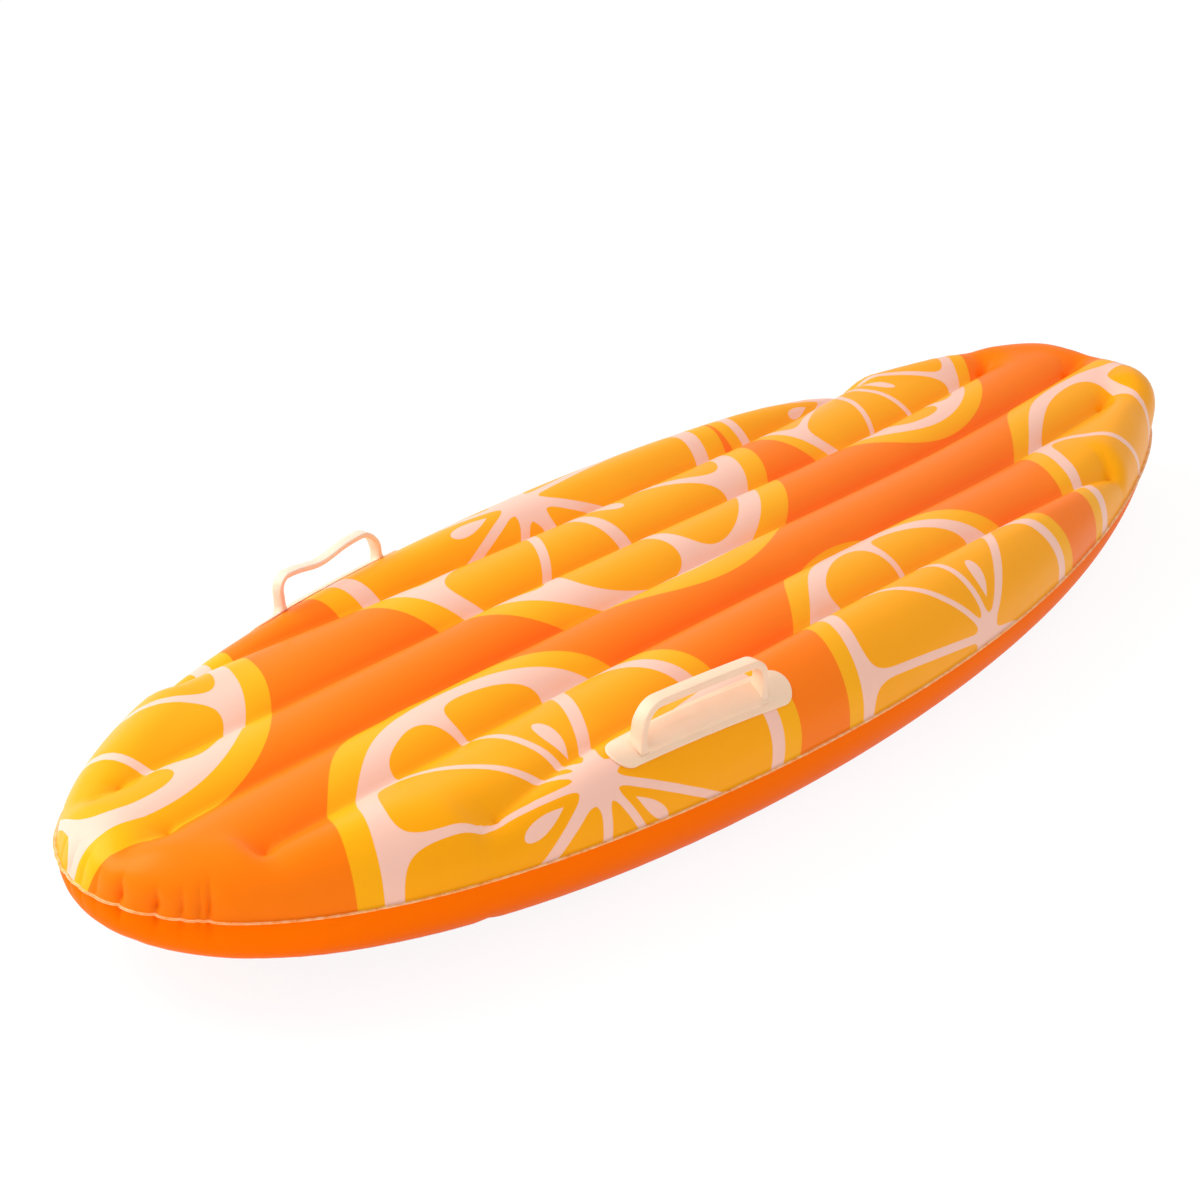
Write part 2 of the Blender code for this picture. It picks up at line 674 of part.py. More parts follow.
def handle(name, side, material):
    obj = add_object(name, *handle_plate(side), material)
    join(obj, add_object(f"{name}_loop", *handle_loop(side), material))


def clear_scene():
    for obj in list(bpy.data.objects):
        bpy.data.objects.remove(obj)


def build():
    clear_scene()
    top_sheet(plastic("printed_film", (255, 166, 40), 0.25))
    bottom_sheet(plastic("orange_film", (255, 112, 0), 0.25))
    web_film = plastic("web_film", (245, 240, 230), 0.35)
    for index in range(WEB_COUNT):
        web(index, web_film)
    handle("handle_left", 1, plastic("handle_left", (252, 227, 208), 0.35))
    handle("handle_right", -1, plastic("handle_right", (252, 227, 208), 0.35))
    valve_body(plastic("valve_body", (250, 250, 250), 0.35))
    stem = valve_stem(plastic("valve_stem", (250, 250, 250), 0.35))
    valve_plug(plastic("valve_plug", (250, 250, 250), 0.35), stem)
    check_flap(plastic("check_flap", (240, 240, 240), 0.40), stem)


build()
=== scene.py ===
"""Looks of the inflatable float board: its blown films, weld, webs, grab handles and valve."""

import math

import bpy
import numpy as np
from mathutils.geometry import delaunay_2d_cdt
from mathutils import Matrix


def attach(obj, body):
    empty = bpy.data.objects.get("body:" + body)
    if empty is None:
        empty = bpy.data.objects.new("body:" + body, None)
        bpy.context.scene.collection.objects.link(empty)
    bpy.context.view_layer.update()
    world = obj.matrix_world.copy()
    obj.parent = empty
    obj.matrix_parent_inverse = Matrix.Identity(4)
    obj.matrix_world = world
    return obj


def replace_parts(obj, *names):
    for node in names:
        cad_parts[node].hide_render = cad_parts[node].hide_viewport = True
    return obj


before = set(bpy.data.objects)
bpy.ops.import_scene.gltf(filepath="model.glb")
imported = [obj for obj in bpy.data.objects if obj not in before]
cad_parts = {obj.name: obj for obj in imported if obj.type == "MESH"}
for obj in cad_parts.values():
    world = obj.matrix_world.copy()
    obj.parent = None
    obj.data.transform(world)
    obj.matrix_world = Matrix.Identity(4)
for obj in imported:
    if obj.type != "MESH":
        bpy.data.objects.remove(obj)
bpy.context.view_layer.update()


# Printed top film
# PVC film 0.3 mm thick, screen printed with citrus slices and cut to a long oval. It is welded to the bottom
# film round the edge and to five webs, and the air pulls it into six tubes whose valleys end in dimples.
LENGTH = 1.730
WIDTH = 0.520
NOSE_FULLNESS = 0.178
TAIL_DRAW = 0.050
TAIL_FULLNESS = 0.220
HALF_THICKNESS = (0.0405, 0.0756, 0.0762, 0.0611, 0.0526)
ROCKER = 0.0245
CONTACT_FLAT = 0.0025
UNDERSIDE_FULLNESS = 1.04
FILM = 0.0003
SEAM_HALF = 0.00045
FLANGE = 0.003
WEB_COUNT = 5
INNER_WEB = 0.080
OUTER_WEB = 0.160
OUTER_WEB_SPREAD = 0.032
TUBE_BLEND = 0.020
WEB_WELD = 0.003
WEB_NOSE_GAP = (0.285, 0.104, 0.076, 0.104, 0.285)
WEB_TAIL_GAP = (0.309, 0.146, 0.083, 0.146, 0.309)
VALLEY_DEPTH = (0.016, 0.024)
VALLEY_DEEPENS = (-0.75, -0.15)
INNER_DROP = 0.006
DROP_ZONE = (0.5, 1.2)
DROP_BEGINS = (-0.82, -0.52)
PULL_PAST_NOSE = (0.020, 0.030, 0.048, 0.006, 0.020)
PULL_PAST_TAIL = (0.000, 0.010, 0.030, 0.026, 0.000)
PULL_FADE = 0.050
PULL_LOST = 0.5
HOLLOW_AHEAD = 1.45
TAIL_LIFT = 0.13
TAIL_LIFT_ZONE = (0.40, 0.80)


def smooth_step(low, high, value):
    """0 below low, 1 above high, and a smooth climb between."""
    share = np.clip((value - low) / (high - low), 0, 1)
    return share * share * (3 - 2 * share)


def full_turn(count):
    """Evenly spaced angles once round a circle."""
    return 2 * np.pi * np.arange(count) / count


def unit(vectors):
    return vectors / np.linalg.norm(vectors, axis=-1)[..., None]


def half_thickness(x):
    """Radius of the rounded rim: the quartic through five stations from nose to tail."""
    stations = np.linspace(-0.5, 0.5, len(HALF_THICKNESS))
    quartic = np.polyfit(stations, HALF_THICKNESS, len(HALF_THICKNESS) - 1)
    return np.polyval(quartic, np.clip(x / LENGTH, -0.5, 0.5))


def half_width(x):
    """Half the width at the seam: an ellipse, fuller at the nose and drawn in before the tail."""
    u = np.clip(2 * np.asarray(x, float) / LENGTH, -1, 1)
    nose = 1 + NOSE_FULLNESS * np.abs(u) ** 3
    tail = 1 - TAIL_DRAW * u ** 2 + TAIL_FULLNESS * np.abs(u) ** 9
    return WIDTH / 2 * np.sqrt(1 - u ** 2) * np.where(u < 0, nose, tail)


def outline(count):
    """Points round the seam from the nose past the far side, and the outward direction at each."""
    turn = full_turn(count)
    x = -LENGTH / 2 * np.cos(turn)
    points = np.stack([x, half_width(x) * np.sign(np.sin(turn))], axis=1)
    along = np.roll(points, -1, axis=0) - np.roll(points, 1, axis=0)
    return points, unit(np.stack([-along[:, 1], along[:, 0]], axis=1))


EDGE, EDGE_OUT = outline(1440)
EDGE_AHEAD = np.roll(EDGE, -1, axis=0) - EDGE
EDGE_STEP = np.linalg.norm(EDGE_AHEAD, axis=1)
EDGE_ARC = np.cumsum(EDGE_STEP) - EDGE_STEP
PERIMETER = EDGE_STEP.sum()


def edge_point(arc):
    """The seam's points and outward directions at arc lengths from the nose, negative on the near side."""
    point, outward = (
        np.stack([np.interp(arc, EDGE_ARC, values[:, axis], period=PERIMETER) for axis in (0, 1)], axis=-1)
        for values in (EDGE, EDGE_OUT)
    )
    return point, unit(outward)


def edge_place(x, y):
    """Depth inside the seam, arc length from the nose (negative on the near side) and outward direction."""
    points = np.stack([np.ravel(x), np.ravel(y)], axis=1).astype(float)
    depth, arc, outward = [], [], []
    for block in np.array_split(points, len(points) // 4000 + 1):
        away = block[:, None] - EDGE
        share = np.clip((away * EDGE_AHEAD).sum(-1) / EDGE_STEP ** 2, 0, 1)
        gap = ((away - share[..., None] * EDGE_AHEAD) ** 2).sum(-1)
        nearest = gap.argmin(axis=1)
        rows = np.arange(len(block))
        share = share[rows, nearest]
        depth.append(np.sqrt(gap[rows, nearest]))
        arc.append(EDGE_ARC[nearest] + share * EDGE_STEP[nearest])
        following = (nearest + 1) % len(EDGE)
        outward.append(EDGE_OUT[nearest] * (1 - share)[:, None] + EDGE_OUT[following] * share[:, None])
    shape = np.shape(x)
    arc = np.concatenate(arc)
    arc = np.where(arc > PERIMETER / 2, arc - PERIMETER, arc)
    outward = np.concatenate(outward).reshape(*shape, 2)
    return np.concatenate(depth).reshape(shape), arc.reshape(shape), outward


def web_y(index, x):
    """Line of a web seen from above; the outer two spread towards the ends, where the tubes are thinner."""
    x = np.asarray(x, float)
    outer = OUTER_WEB + OUTER_WEB_SPREAD * (2 * x / LENGTH) ** 2
    return (outer, INNER_WEB + 0 * x, 0 * x, -INNER_WEB + 0 * x, -outer)[index]


def web_span(index):
    return -LENGTH / 2 + WEB_NOSE_GAP[index], LENGTH / 2 - WEB_TAIL_GAP[index]


def half_tube(index, x, across):
    """Half the width of the tube beside a web, which changes over smoothly at the web's line."""
    here = web_y(index, x)
    beside = [abs(web_y(other, x) - here) / 2 for other in (index + 1, index - 1) if 0 <= other < WEB_COUNT]
    return beside[0] + (beside[-1] - beside[0]) * smooth_step(-TUBE_BLEND, TUBE_BLEND, across)


def valley_depth(x):
    shallow, deep = VALLEY_DEPTH
    return shallow + (deep - shallow) * smooth_step(*VALLEY_DEEPENS, x)


def valleys(x, y):
    """How far the webs draw the film in: two circular arcs that meet over each web, and a round hollow past
    its ends, to which the film is gathered a little beyond the web, less deep there."""
    drawn = 0 * x
    for index in range(WEB_COUNT):
        first, last = web_span(index)
        beside = np.clip(x, first - PULL_PAST_NOSE[index], last + PULL_PAST_TAIL[index])
        across = y - web_y(index, beside)
        half = half_tube(index, beside, across)
        past = np.maximum(np.maximum(first - beside, beside - last), 0)
        deep = valley_depth(beside) * (1 - PULL_LOST * smooth_step(0, PULL_FADE, past))
        arc = (half ** 2 + deep ** 2) / (2 * deep)
        from_web = np.maximum(np.hypot(HOLLOW_AHEAD * (x - beside), across), WEB_WELD / 2)
        from_crown = np.clip(half - from_web, 0, None)
        drawn = drawn + arc - np.sqrt(arc ** 2 - from_crown ** 2)
    return drawn


def rim_rise(x, depth):
    """Height of the round rim over the seam, and level inside it."""
    radius = half_thickness(x)
    return radius * np.sqrt(1 - np.clip(1 - depth / radius, 0, 1) ** 2)


def rocker(x):
    return ROCKER * (2 * np.asarray(x, float) / LENGTH) ** 2


KEEL = np.linspace(-LENGTH / 2, LENGTH / 2, 401)
SEAM_HEIGHT = (UNDERSIDE_FULLNESS * half_thickness(KEEL) + SEAM_HALF - rocker(KEEL)).max() - CONTACT_FLAT


def top_height(x, y, depth=None):
    """Height of the top film's outer face; the webs hold its inner tubes a little below the outer ones."""
    depth = edge_place(x, y)[0] if depth is None else depth
    drop = INNER_DROP * smooth_step(*DROP_ZONE, depth / half_thickness(x)) * smooth_step(*DROP_BEGINS, x)
    lift = 1 + TAIL_LIFT * smooth_step(*TAIL_LIFT_ZONE, x)
    blown = np.maximum(lift * rim_rise(x, depth) - valleys(x, y), 0)
    return SEAM_HEIGHT + rocker(x) + SEAM_HALF + blown - drop


# Folds gathered across the weld: arc length from the nose or tail tip, far side positive, depth and width
NOSE_FOLDS = ((0.010, 0.0024, 0.0040), (-0.0145, 0.0080, 0.0032), (-0.0475, 0.0085, 0.0034),
              (-0.0690, 0.0052, 0.0026), (-0.0835, 0.0040, 0.0022), (-0.0915, 0.0070, 0.0028),
              (0.030, 0.0026, 0.0036), (0.052, 0.0030, 0.0036), (0.076, 0.0022, 0.0030),
              (0.094, 0.0018, 0.0030))
TAIL_FOLDS = ((0.014, 0.0030, 0.0045), (-0.017, 0.0028, 0.0040), (0.041, 0.0038, 0.0045),
              (-0.044, 0.0032, 0.0045), (0.066, 0.0024, 0.0040), (-0.068, 0.0026, 0.0040),
              (0.086, 0.0016, 0.0035), (-0.092, 0.0016, 0.0035))
FOLD_ROUND = 0.0005
FOLD_FLANK = 0.35
FLANK_WIDER = 3.2
FOLD_FADE = (8, 50)
FOLD_FADE_UNEVEN = 0.25
FOLD_AT_SEAM = 0.55
SEAM_ANGLE = 9
BELOW_SEAM = 0.55
BELOW_SEAM_ANGLE = 12
BELOW_FADE = 1.35
PUCKER_DEPTH = 0.0002
PUCKER_FADE = (6, 24)
PUCKER_WAVES = ((210, 2, 31), (87, 3, 13))
FOLD_PLACES = np.array([place for place, _, _ in NOSE_FOLDS]
                       + [PERIMETER / 2 - abs(place) if place > 0 else abs(place) - PERIMETER / 2
                          for place, _, _ in TAIL_FOLDS])


def drawn_in(arc, angle):
    """How far the gathered seam draws the film in: rounded cusps at the two blunt ends, each with a wide soft
    flank, and small puckers all along, which fade up the rim and are weaker at the weld itself."""
    depth = np.zeros_like(arc)
    for place, (_, deep, wide) in zip(FOLD_PLACES, NOSE_FOLDS + TAIL_FOLDS):
        reach = 1 + FOLD_FADE_UNEVEN * np.sin(37 * place)
        away = np.hypot(arc - place, FOLD_ROUND) - FOLD_ROUND
        cusp = (1 - FOLD_FLANK) * np.exp(-away / wide) + FOLD_FLANK * np.exp(-away / (FLANK_WIDER * wide))
        depth += deep * cusp * (1 - smooth_step(FOLD_FADE[0] * reach, FOLD_FADE[1] * reach, angle))
    waves = [np.sin(arc * quick + shift * np.sin(arc * slow)) for quick, shift, slow in PUCKER_WAVES]
    puckers = waves[0] * waves[1]
    depth += PUCKER_DEPTH * (1 + puckers) * (1 - smooth_step(*PUCKER_FADE, angle))
    return depth * (FOLD_AT_SEAM + (1 - FOLD_AT_SEAM) * smooth_step(0, SEAM_ANGLE, angle))


# Swells of the rim: arc length from the nose or tail tip, far side positive, height and half width
TOP_SWELLS = (("nose", 0.33, 0.0045, 0.10), ("tail", -0.130, 0.0130, 0.046), ("tail", -0.010, -0.0095, 0.050),
              ("tail", 0.045, -0.0025, 0.030))
BELOW_SWELLS = (("nose", -0.15, 0.0020, 0.10), ("nose", 0.15, 0.0020, 0.10),
                ("tail", -0.48, 0.0038, 0.30), ("tail", 0.48, 0.0038, 0.30))


def swelling(swells, arc, angle):
    """How far the rim bulges beyond its round section: a bell along the edge, most half way up the rim."""
    from_tail = np.where(arc < 0, -PERIMETER / 2 - arc, PERIMETER / 2 - arc)
    height = np.zeros_like(arc)
    for tip, place, rise, wide in swells:
        height += rise * np.exp(-(((arc if tip == "nose" else from_tail) - place) / wide) ** 2)
    return height * np.sin(np.radians(2 * np.clip(angle, 0, 90)))


# A sharp pit where each web ends, and short creases that fan out from it
PIT_DEPTH = 0.0050
PIT_RADIUS = 0.0038
CREASES = ((-78, 0.0005), (-34, 0.0008), (3, 0.0005), (41, 0.0008), (74, 0.0005))
CREASE_WIDTH = 0.0030
CREASE_BEGINS = (0.003, 0.009)
CREASE_ENDS = (0.012, 0.034)
CREASE_ONE_SIDED = 0.004
CREASE_TURN_UNEVEN = 9


def end_creases(x, y):
    """Depth of the pit, and of the fan of creases, that each web's end pulls into the film."""
    depth = np.zeros_like(x)
    for index in range(WEB_COUNT):
        for end, ahead in zip(web_span(index), (-1, 1)):
            along = (x - end) * ahead
            across = y - web_y(index, end)
            reach = np.hypot(along, across)
            depth += PIT_DEPTH * np.exp(-reach / PIT_RADIUS)
            window = smooth_step(*CREASE_BEGINS, reach) * (1 - smooth_step(*CREASE_ENDS, reach))
            for turn, deep in CREASES:
                angle = math.radians(turn + CREASE_TURN_UNEVEN * math.sin(3.1 * index + ahead))
                outward = along * math.cos(angle) + across * math.sin(angle)
                beside = across * math.cos(angle) - along * math.sin(angle)
                line = np.exp(-(beside / CREASE_WIDTH) ** 2) * smooth_step(0, CREASE_ONE_SIDED, outward)
                depth += deep * window * line
    return depth


# The mesh: rings up the rim, rows that follow the webs, and rings round each web's end. A step is the closest
# spacing, at the webs' ends or the folds, the widest one, and how fast it grows from one to the other.
RIM_ANGLES = (0, 3, 7, 11, 15, 20, 25, 30, 35, 40, 46)
TUBE_ROWS = 14
OUTER_ROWS = 0.001 * np.array([3, 7, 12, 18, 24, 30, 36, 42, 48, 54, 60, 66, 72, 78, 84])
END_RINGS = 0.001 * np.array([1.5, 3, 4.5, 6.5, 9, 12, 15.5, 19.5])
END_REACH = 0.0225
BESIDE_WELD = 0.0032
TUBE_STEP = (0.003, 0.0085, 0.1)
RIM_STEP = (0.0009, 0.006, 0.12)
RIM_GAP = 0.0035


def stations(first, last, samples, marks, closest, widest, growth):
    """Places along a line, close together at the marks and farther apart away from them."""
    place = np.linspace(first, last, samples)
    spacing = np.minimum(widest, closest + growth * np.abs(place[:, None] - marks).min(axis=1))
    passed = np.concatenate([[0], np.cumsum(2 * np.diff(place) / (spacing[1:] + spacing[:-1]))])
    count = round(passed[-1])
    return np.interp(np.arange(count) / count * passed[-1], passed, place)


def polar(centre, radii, count):
    turn = full_turn(count)
    rings = radii[:, None, None] * np.stack([np.cos(turn), np.sin(turn)], axis=-1)
    return (np.asarray(centre) + rings).reshape(-1, 2)


def near_weld(points):
    """Which points lie on a web's weld or close beside it."""
    x, y = points.T
    near = np.zeros(len(points), bool)
    for index in range(WEB_COUNT):
        first, last = web_span(index)
        near |= (x > first) & (x < last) & (np.abs(y - web_y(index, x)) < BESIDE_WELD)
    return near


def lattice():
    """Rows over the tubes, closer together beside the welds, at stations that crowd at the webs' ends."""
    ends = np.array([end for index in range(WEB_COUNT) for end in web_span(index)])
    x = stations(-LENGTH / 2, LENGTH / 2, 20001, ends, *TUBE_STEP)
    lines = np.stack([web_y(index, x) for index in range(WEB_COUNT)])
    share = np.linspace(0, 1, TUBE_ROWS + 1)
    share = ((share + (1 - np.cos(np.pi * share)) / 2) / 2)[:, None, None]
    high, low = lines[:-1] - WEB_WELD / 2, lines[1:] + WEB_WELD / 2
    beyond = WEB_WELD / 2 + np.concatenate([[0], OUTER_ROWS])[:, None]
    rows = [lines, (low + (high - low) * share).reshape(-1, len(x)), lines[0] + beyond, lines[-1] - beyond]
    y = np.concatenate(rows)
    return np.stack([np.broadcast_to(x, y.shape), y], axis=-1).reshape(-1, 2)


def numbered(grid):
    """A grid of points as a list, and each point's number in the grid's own layout."""
    return grid.reshape(-1, grid.shape[-1]), np.arange(grid[..., 0].size).reshape(grid.shape[:2])


def ring_faces(number, closed=False):
    """Quads between neighbouring rings of numbered points, and from the last to the first where closed."""
    following = np.roll(number, -1, axis=0)
    ahead = [np.roll(ring, -1, axis=1) for ring in (number, following)]
    faces = np.stack([number, ahead[0], ahead[1], following], axis=-1)
    return faces[:len(number) if closed else -1].reshape(-1, 4)


def inner_points(rounds):
    """Points inside the rim's rings, with their depth, arc length and outward direction at the seam."""
    inner = lattice()
    inner = inner[(np.abs(inner[:, 0]) < LENGTH / 2) & (np.abs(inner[:, 1]) < half_width(inner[:, 0]))]
    welds = near_weld(inner)
    for centre, _, _, reach in rounds:
        kept = welds | (np.linalg.norm(inner - centre, axis=1) > reach)
        inner, welds = inner[kept], welds[kept]
    for centre, radii, count, _ in rounds:
        extra = polar(centre, radii, count)
        inner = np.concatenate([inner, extra[~near_weld(extra)]])
    depth, arc, outward = edge_place(inner[:, 0], inner[:, 1])
    innermost = half_thickness(inner[:, 0]) * (1 - math.cos(math.radians(RIM_ANGLES[-1])))
    kept = depth > innermost + RIM_GAP
    return inner[kept], depth[kept], arc[kept], outward[kept]


def triangles_inside(flat, ring_size):
    """Triangles that face up, over a ring of points, which comes first, and all the points inside it."""
    _, _, triangles, origin, _, _ = delaunay_2d_cdt(flat.tolist(), [], [list(range(ring_size))], 1, 1e-7)
    triangles = np.array([places[0] for places in origin])[np.array(triangles)]
    corner = flat[triangles]
    side, other = corner[:, 1] - corner[:, 0], corner[:, 2] - corner[:, 0]
    upward = side[:, 0] * other[:, 1] - side[:, 1] * other[:, 0] > 0
    return np.where(upward[:, None], triangles, triangles[:, ::-1])


def film_plan(rounds):
    """A film seen from above: quads between the rim's rings, and triangles over all inside them.

    Rounds are places (centre, radii, count, reach) where rings of points take the rows' place. Gives the
    points, the faces, and each point's depth, arc length and outward direction at the seam.
    """
    arc = stations(-PERIMETER / 2, PERIMETER / 2, 40001, FOLD_PLACES, *RIM_STEP)
    foot, outward = edge_point(arc)
    radius = half_thickness(foot[:, 0])
    depths = [0 * radius - FLANGE, 0 * radius - FLANGE / 3]
    depths += [radius * (1 - math.cos(math.radians(angle))) for angle in RIM_ANGLES]
    rings = np.stack([foot - outward * depth[:, None] for depth in depths])
    rim, number = numbered(rings)
    inner, depth, inner_arc, inner_out = inner_points(rounds)
    triangles = triangles_inside(np.concatenate([rings[-1], inner]), len(arc)) + number[-1, 0]
    points = np.concatenate([rim, inner])
    depth = np.concatenate([*depths, depth])
    arc = np.concatenate([np.tile(arc, len(rings)), inner_arc])
    outward = np.concatenate([np.tile(outward, (len(rings), 1)), inner_out])
    return points, [ring_faces(number)[:, ::-1], triangles], depth, arc, outward


# The flat film: how far across the valleys a point lies from the middle web, as a table to read between
TABLE_X = np.linspace(-LENGTH / 2, LENGTH / 2, 401)
TABLE_Y = np.linspace(-0.3, 0.3, 601)
TABLE = valleys(*np.meshgrid(TABLE_X, TABLE_Y, indexing="ij"))
TABLE = np.cumsum(np.hypot(np.diff(TABLE_Y), np.diff(TABLE, axis=1)), axis=1)
TABLE = np.concatenate([0 * TABLE[:, :1], TABLE], axis=1) - TABLE[:, len(TABLE_Y) // 2 - 1][:, None]


def flat_place(points, depth, outward):
    """Where a point lay on the flat film: its station and its way across the valleys, plus, on the rim, how
    much longer the round way from the crown is than the level one."""
    column = np.clip(np.interp(points[:, 0], TABLE_X, np.arange(len(TABLE_X))), 0, len(TABLE_X) - 1.001)
    row = np.clip(np.interp(points[:, 1], TABLE_Y, np.arange(len(TABLE_Y))), 0, len(TABLE_Y) - 1.001)
    left, low = column.astype(int), row.astype(int)
    right_share, high_share = column - left, row - low
    across = (TABLE[left, low] * (1 - right_share) + TABLE[left + 1, low] * right_share) * (1 - high_share)
    across += (TABLE[left, low + 1] * (1 - right_share) + TABLE[left + 1, low + 1] * right_share) * high_share
    radius = half_thickness(points[:, 0])
    cosine = np.clip(1 - depth / radius, 0, 1)
    extra = radius * (np.pi / 2 - np.arccos(cosine) - cosine)
    return np.stack([points[:, 0], across], axis=1) + outward * extra[:, None]


EDGE_WELD_FROM = 0.0005
WELD_REACH = 0.6


def weld_mask(points, depth):
    """1 on the flange and over the webs' welds, and 0 elsewhere."""
    x, y = points.T
    weld = (depth < -EDGE_WELD_FROM).astype(float)
    for index in range(WEB_COUNT):
        beside = np.clip(x, *web_span(index))
        weld += np.hypot(x - beside, y - web_y(index, beside)) < WELD_REACH * WEB_WELD
    return np.clip(weld, 0, 1)


def new_object(name, data):
    """A new object in the scene, round a mesh, a lamp or a camera."""
    thing = bpy.data.objects.new(name, data)
    bpy.context.collection.objects.link(thing)
    return thing


def add_piece(name, points, faces, material, body, slot):
    """A smooth piece from world points and arrays of face corners, riding on a body, with a material; the
    slot is not used.
    """
    mesh = bpy.data.meshes.new(name)
    mesh.from_pydata(points.tolist(), [], [face for part in faces for face in part.tolist()])
    mesh.shade_smooth()
    mesh.materials.append(material)
    piece = new_object(name, mesh)
    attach(piece, body)
    return piece


def thicken(piece, offset):
    """Gives a surface the film's thickness: inwards at an offset of -1, to both sides at 0."""
    solidify = piece.modifiers.new("Film", "SOLIDIFY")
    solidify.thickness = FILM
    solidify.offset = offset


def add_film(name, facing, plan, height, material, slot):
    """A blown film with its thickness turned inwards, its flat coordinates as UVs, its welds as an attribute.

    The height is moved along the rim's own normal, in by the folds and out by the swells, and straight in by
    the creases.
    """
    points, faces, depth, arc, outward = plan
    x, y = points.T
    cosine = np.clip(1 - depth / half_thickness(x), 0, 1)
    angle = np.degrees(np.arccos(cosine))
    if facing > 0:
        fold = drawn_in(arc, angle) - swelling(TOP_SWELLS, arc, angle)
    else:
        share = 1 - (1 - BELOW_SEAM) * smooth_step(0, BELOW_SEAM_ANGLE, angle)
        fold = drawn_in(arc, BELOW_FADE * angle) * share - swelling(BELOW_SWELLS, arc, angle)
    x = x - outward[:, 0] * cosine * fold
    y = y - outward[:, 1] * cosine * fold
    z = np.maximum(height - facing * (np.sqrt(1 - cosine ** 2) * fold + end_creases(*points.T)), 0)
    faces = faces if facing > 0 else [part[:, ::-1] for part in faces]
    film = add_piece(name, np.stack([x, y, z], axis=1), faces, material, "root", slot)
    corner = np.empty(len(film.data.loops), int)
    film.data.loops.foreach_get("vertex_index", corner)
    flat = flat_place(points, depth, outward)
    film.data.uv_layers.new(name="flat").data.foreach_set("uv", flat[corner].ravel())
    weld = weld_mask(points, depth)
    film.data.attributes.new("weld", "FLOAT", "POINT").data.foreach_set("value", weld)
    thicken(film, -1)
    return film


def colour(red, green, blue):
    """A colour written as 0 to 255 per channel, as Blender's linear one."""
    share = np.array([red, green, blue]) / 255
    linear = np.where(share <= 0.04045, share / 12.92, ((share + 0.055) / 1.055) ** 2.4)
    return (*linear.tolist(), 1)


def add_node(tree, kind, values=(), **settings):
    """A node whose inputs are fed, in order or by name, by sockets or plain values; None leaves one alone."""
    node = tree.nodes.new(kind)
    for key, value in settings.items():
        setattr(node, key, value)
    pairs = values.items() if isinstance(values, dict) else enumerate(values)
    for key, value in pairs:
        if isinstance(value, bpy.types.NodeSocket):
            tree.links.new(value, node.inputs[key])
        elif value is not None:
            node.inputs[key].default_value = value
    return node


def calculate(tree, operation, *values, clamp=False):
    """The result of a Math node."""
    return add_node(tree, "ShaderNodeMath", values, operation=operation, use_clamp=clamp).outputs[0]


def mix(tree, share, first, second):
    """A blend of two colours."""
    return add_node(tree, "ShaderNodeMix", {0: share, 6: first, 7: second}, data_type="RGBA").outputs[2]


def noise(tree, place, scale, detail, roughness):
    """Cloudy values from 0 to 1; scale is in patches per metre."""
    values = (place, None, scale, detail, roughness)
    return add_node(tree, "ShaderNodeTexNoise", values).outputs["Fac"]


def bumped(tree, height, distance):
    """Normals tilted by a height map."""
    return add_node(tree, "ShaderNodeBump", {"Height": height, "Distance": distance}).outputs["Normal"]


def object_place(tree):
    return add_node(tree, "ShaderNodeTexCoord").outputs["Object"]


def new_group(name, inputs, outputs):
    """An empty node group with named sockets, what it is given, and the node that takes its results."""
    tree = bpy.data.node_groups.new(name, "ShaderNodeTree")
    for direction, sockets in (("INPUT", inputs), ("OUTPUT", outputs)):
        for label, kind in sockets:
            tree.interface.new_socket(label, in_out=direction, socket_type=f"NodeSocket{kind}")
    return tree, tree.nodes.new("NodeGroupInput").outputs, tree.nodes.new("NodeGroupOutput")


def new_material(name):
    """A new material with its node tree and its Principled shader."""
    material = bpy.data.materials.new(name)
    material.use_nodes = True
    return material, material.node_tree, material.node_tree.nodes["Principled BSDF"]


def connect(tree, node, **feeds):
    """Feeds a node's sockets, named with underscores, by sockets or plain values."""
    for label, value in feeds.items():
        socket = node.inputs[label.replace("_", " ")]
        if isinstance(value, bpy.types.NodeSocket):
            tree.links.new(value, socket)
        else:
            socket.default_value = value


def use_group(tree, group, **feeds):
    """What a node group makes of its feeds."""
    node = add_node(tree, "ShaderNodeGroup", node_tree=group)
    connect(tree, node, **feeds)
    return node.outputs


# Shares of a slice's radius: outer edges of the flesh and of the pale ring, the hub, half a line, how far
# corners are rounded, and a pip's length and half width
FLESH_EDGE = 0.835
PITH_EDGE = 0.905
HUB = 0.085
HALF_LINE = 0.019
CORNERS = 0.22
HUB_CORNERS = 0.06
PIP_LENGTH = 0.19
PIP_HALF = 0.085
PIP_TRIM = 0.0004
INK_EDGE = 0.0005


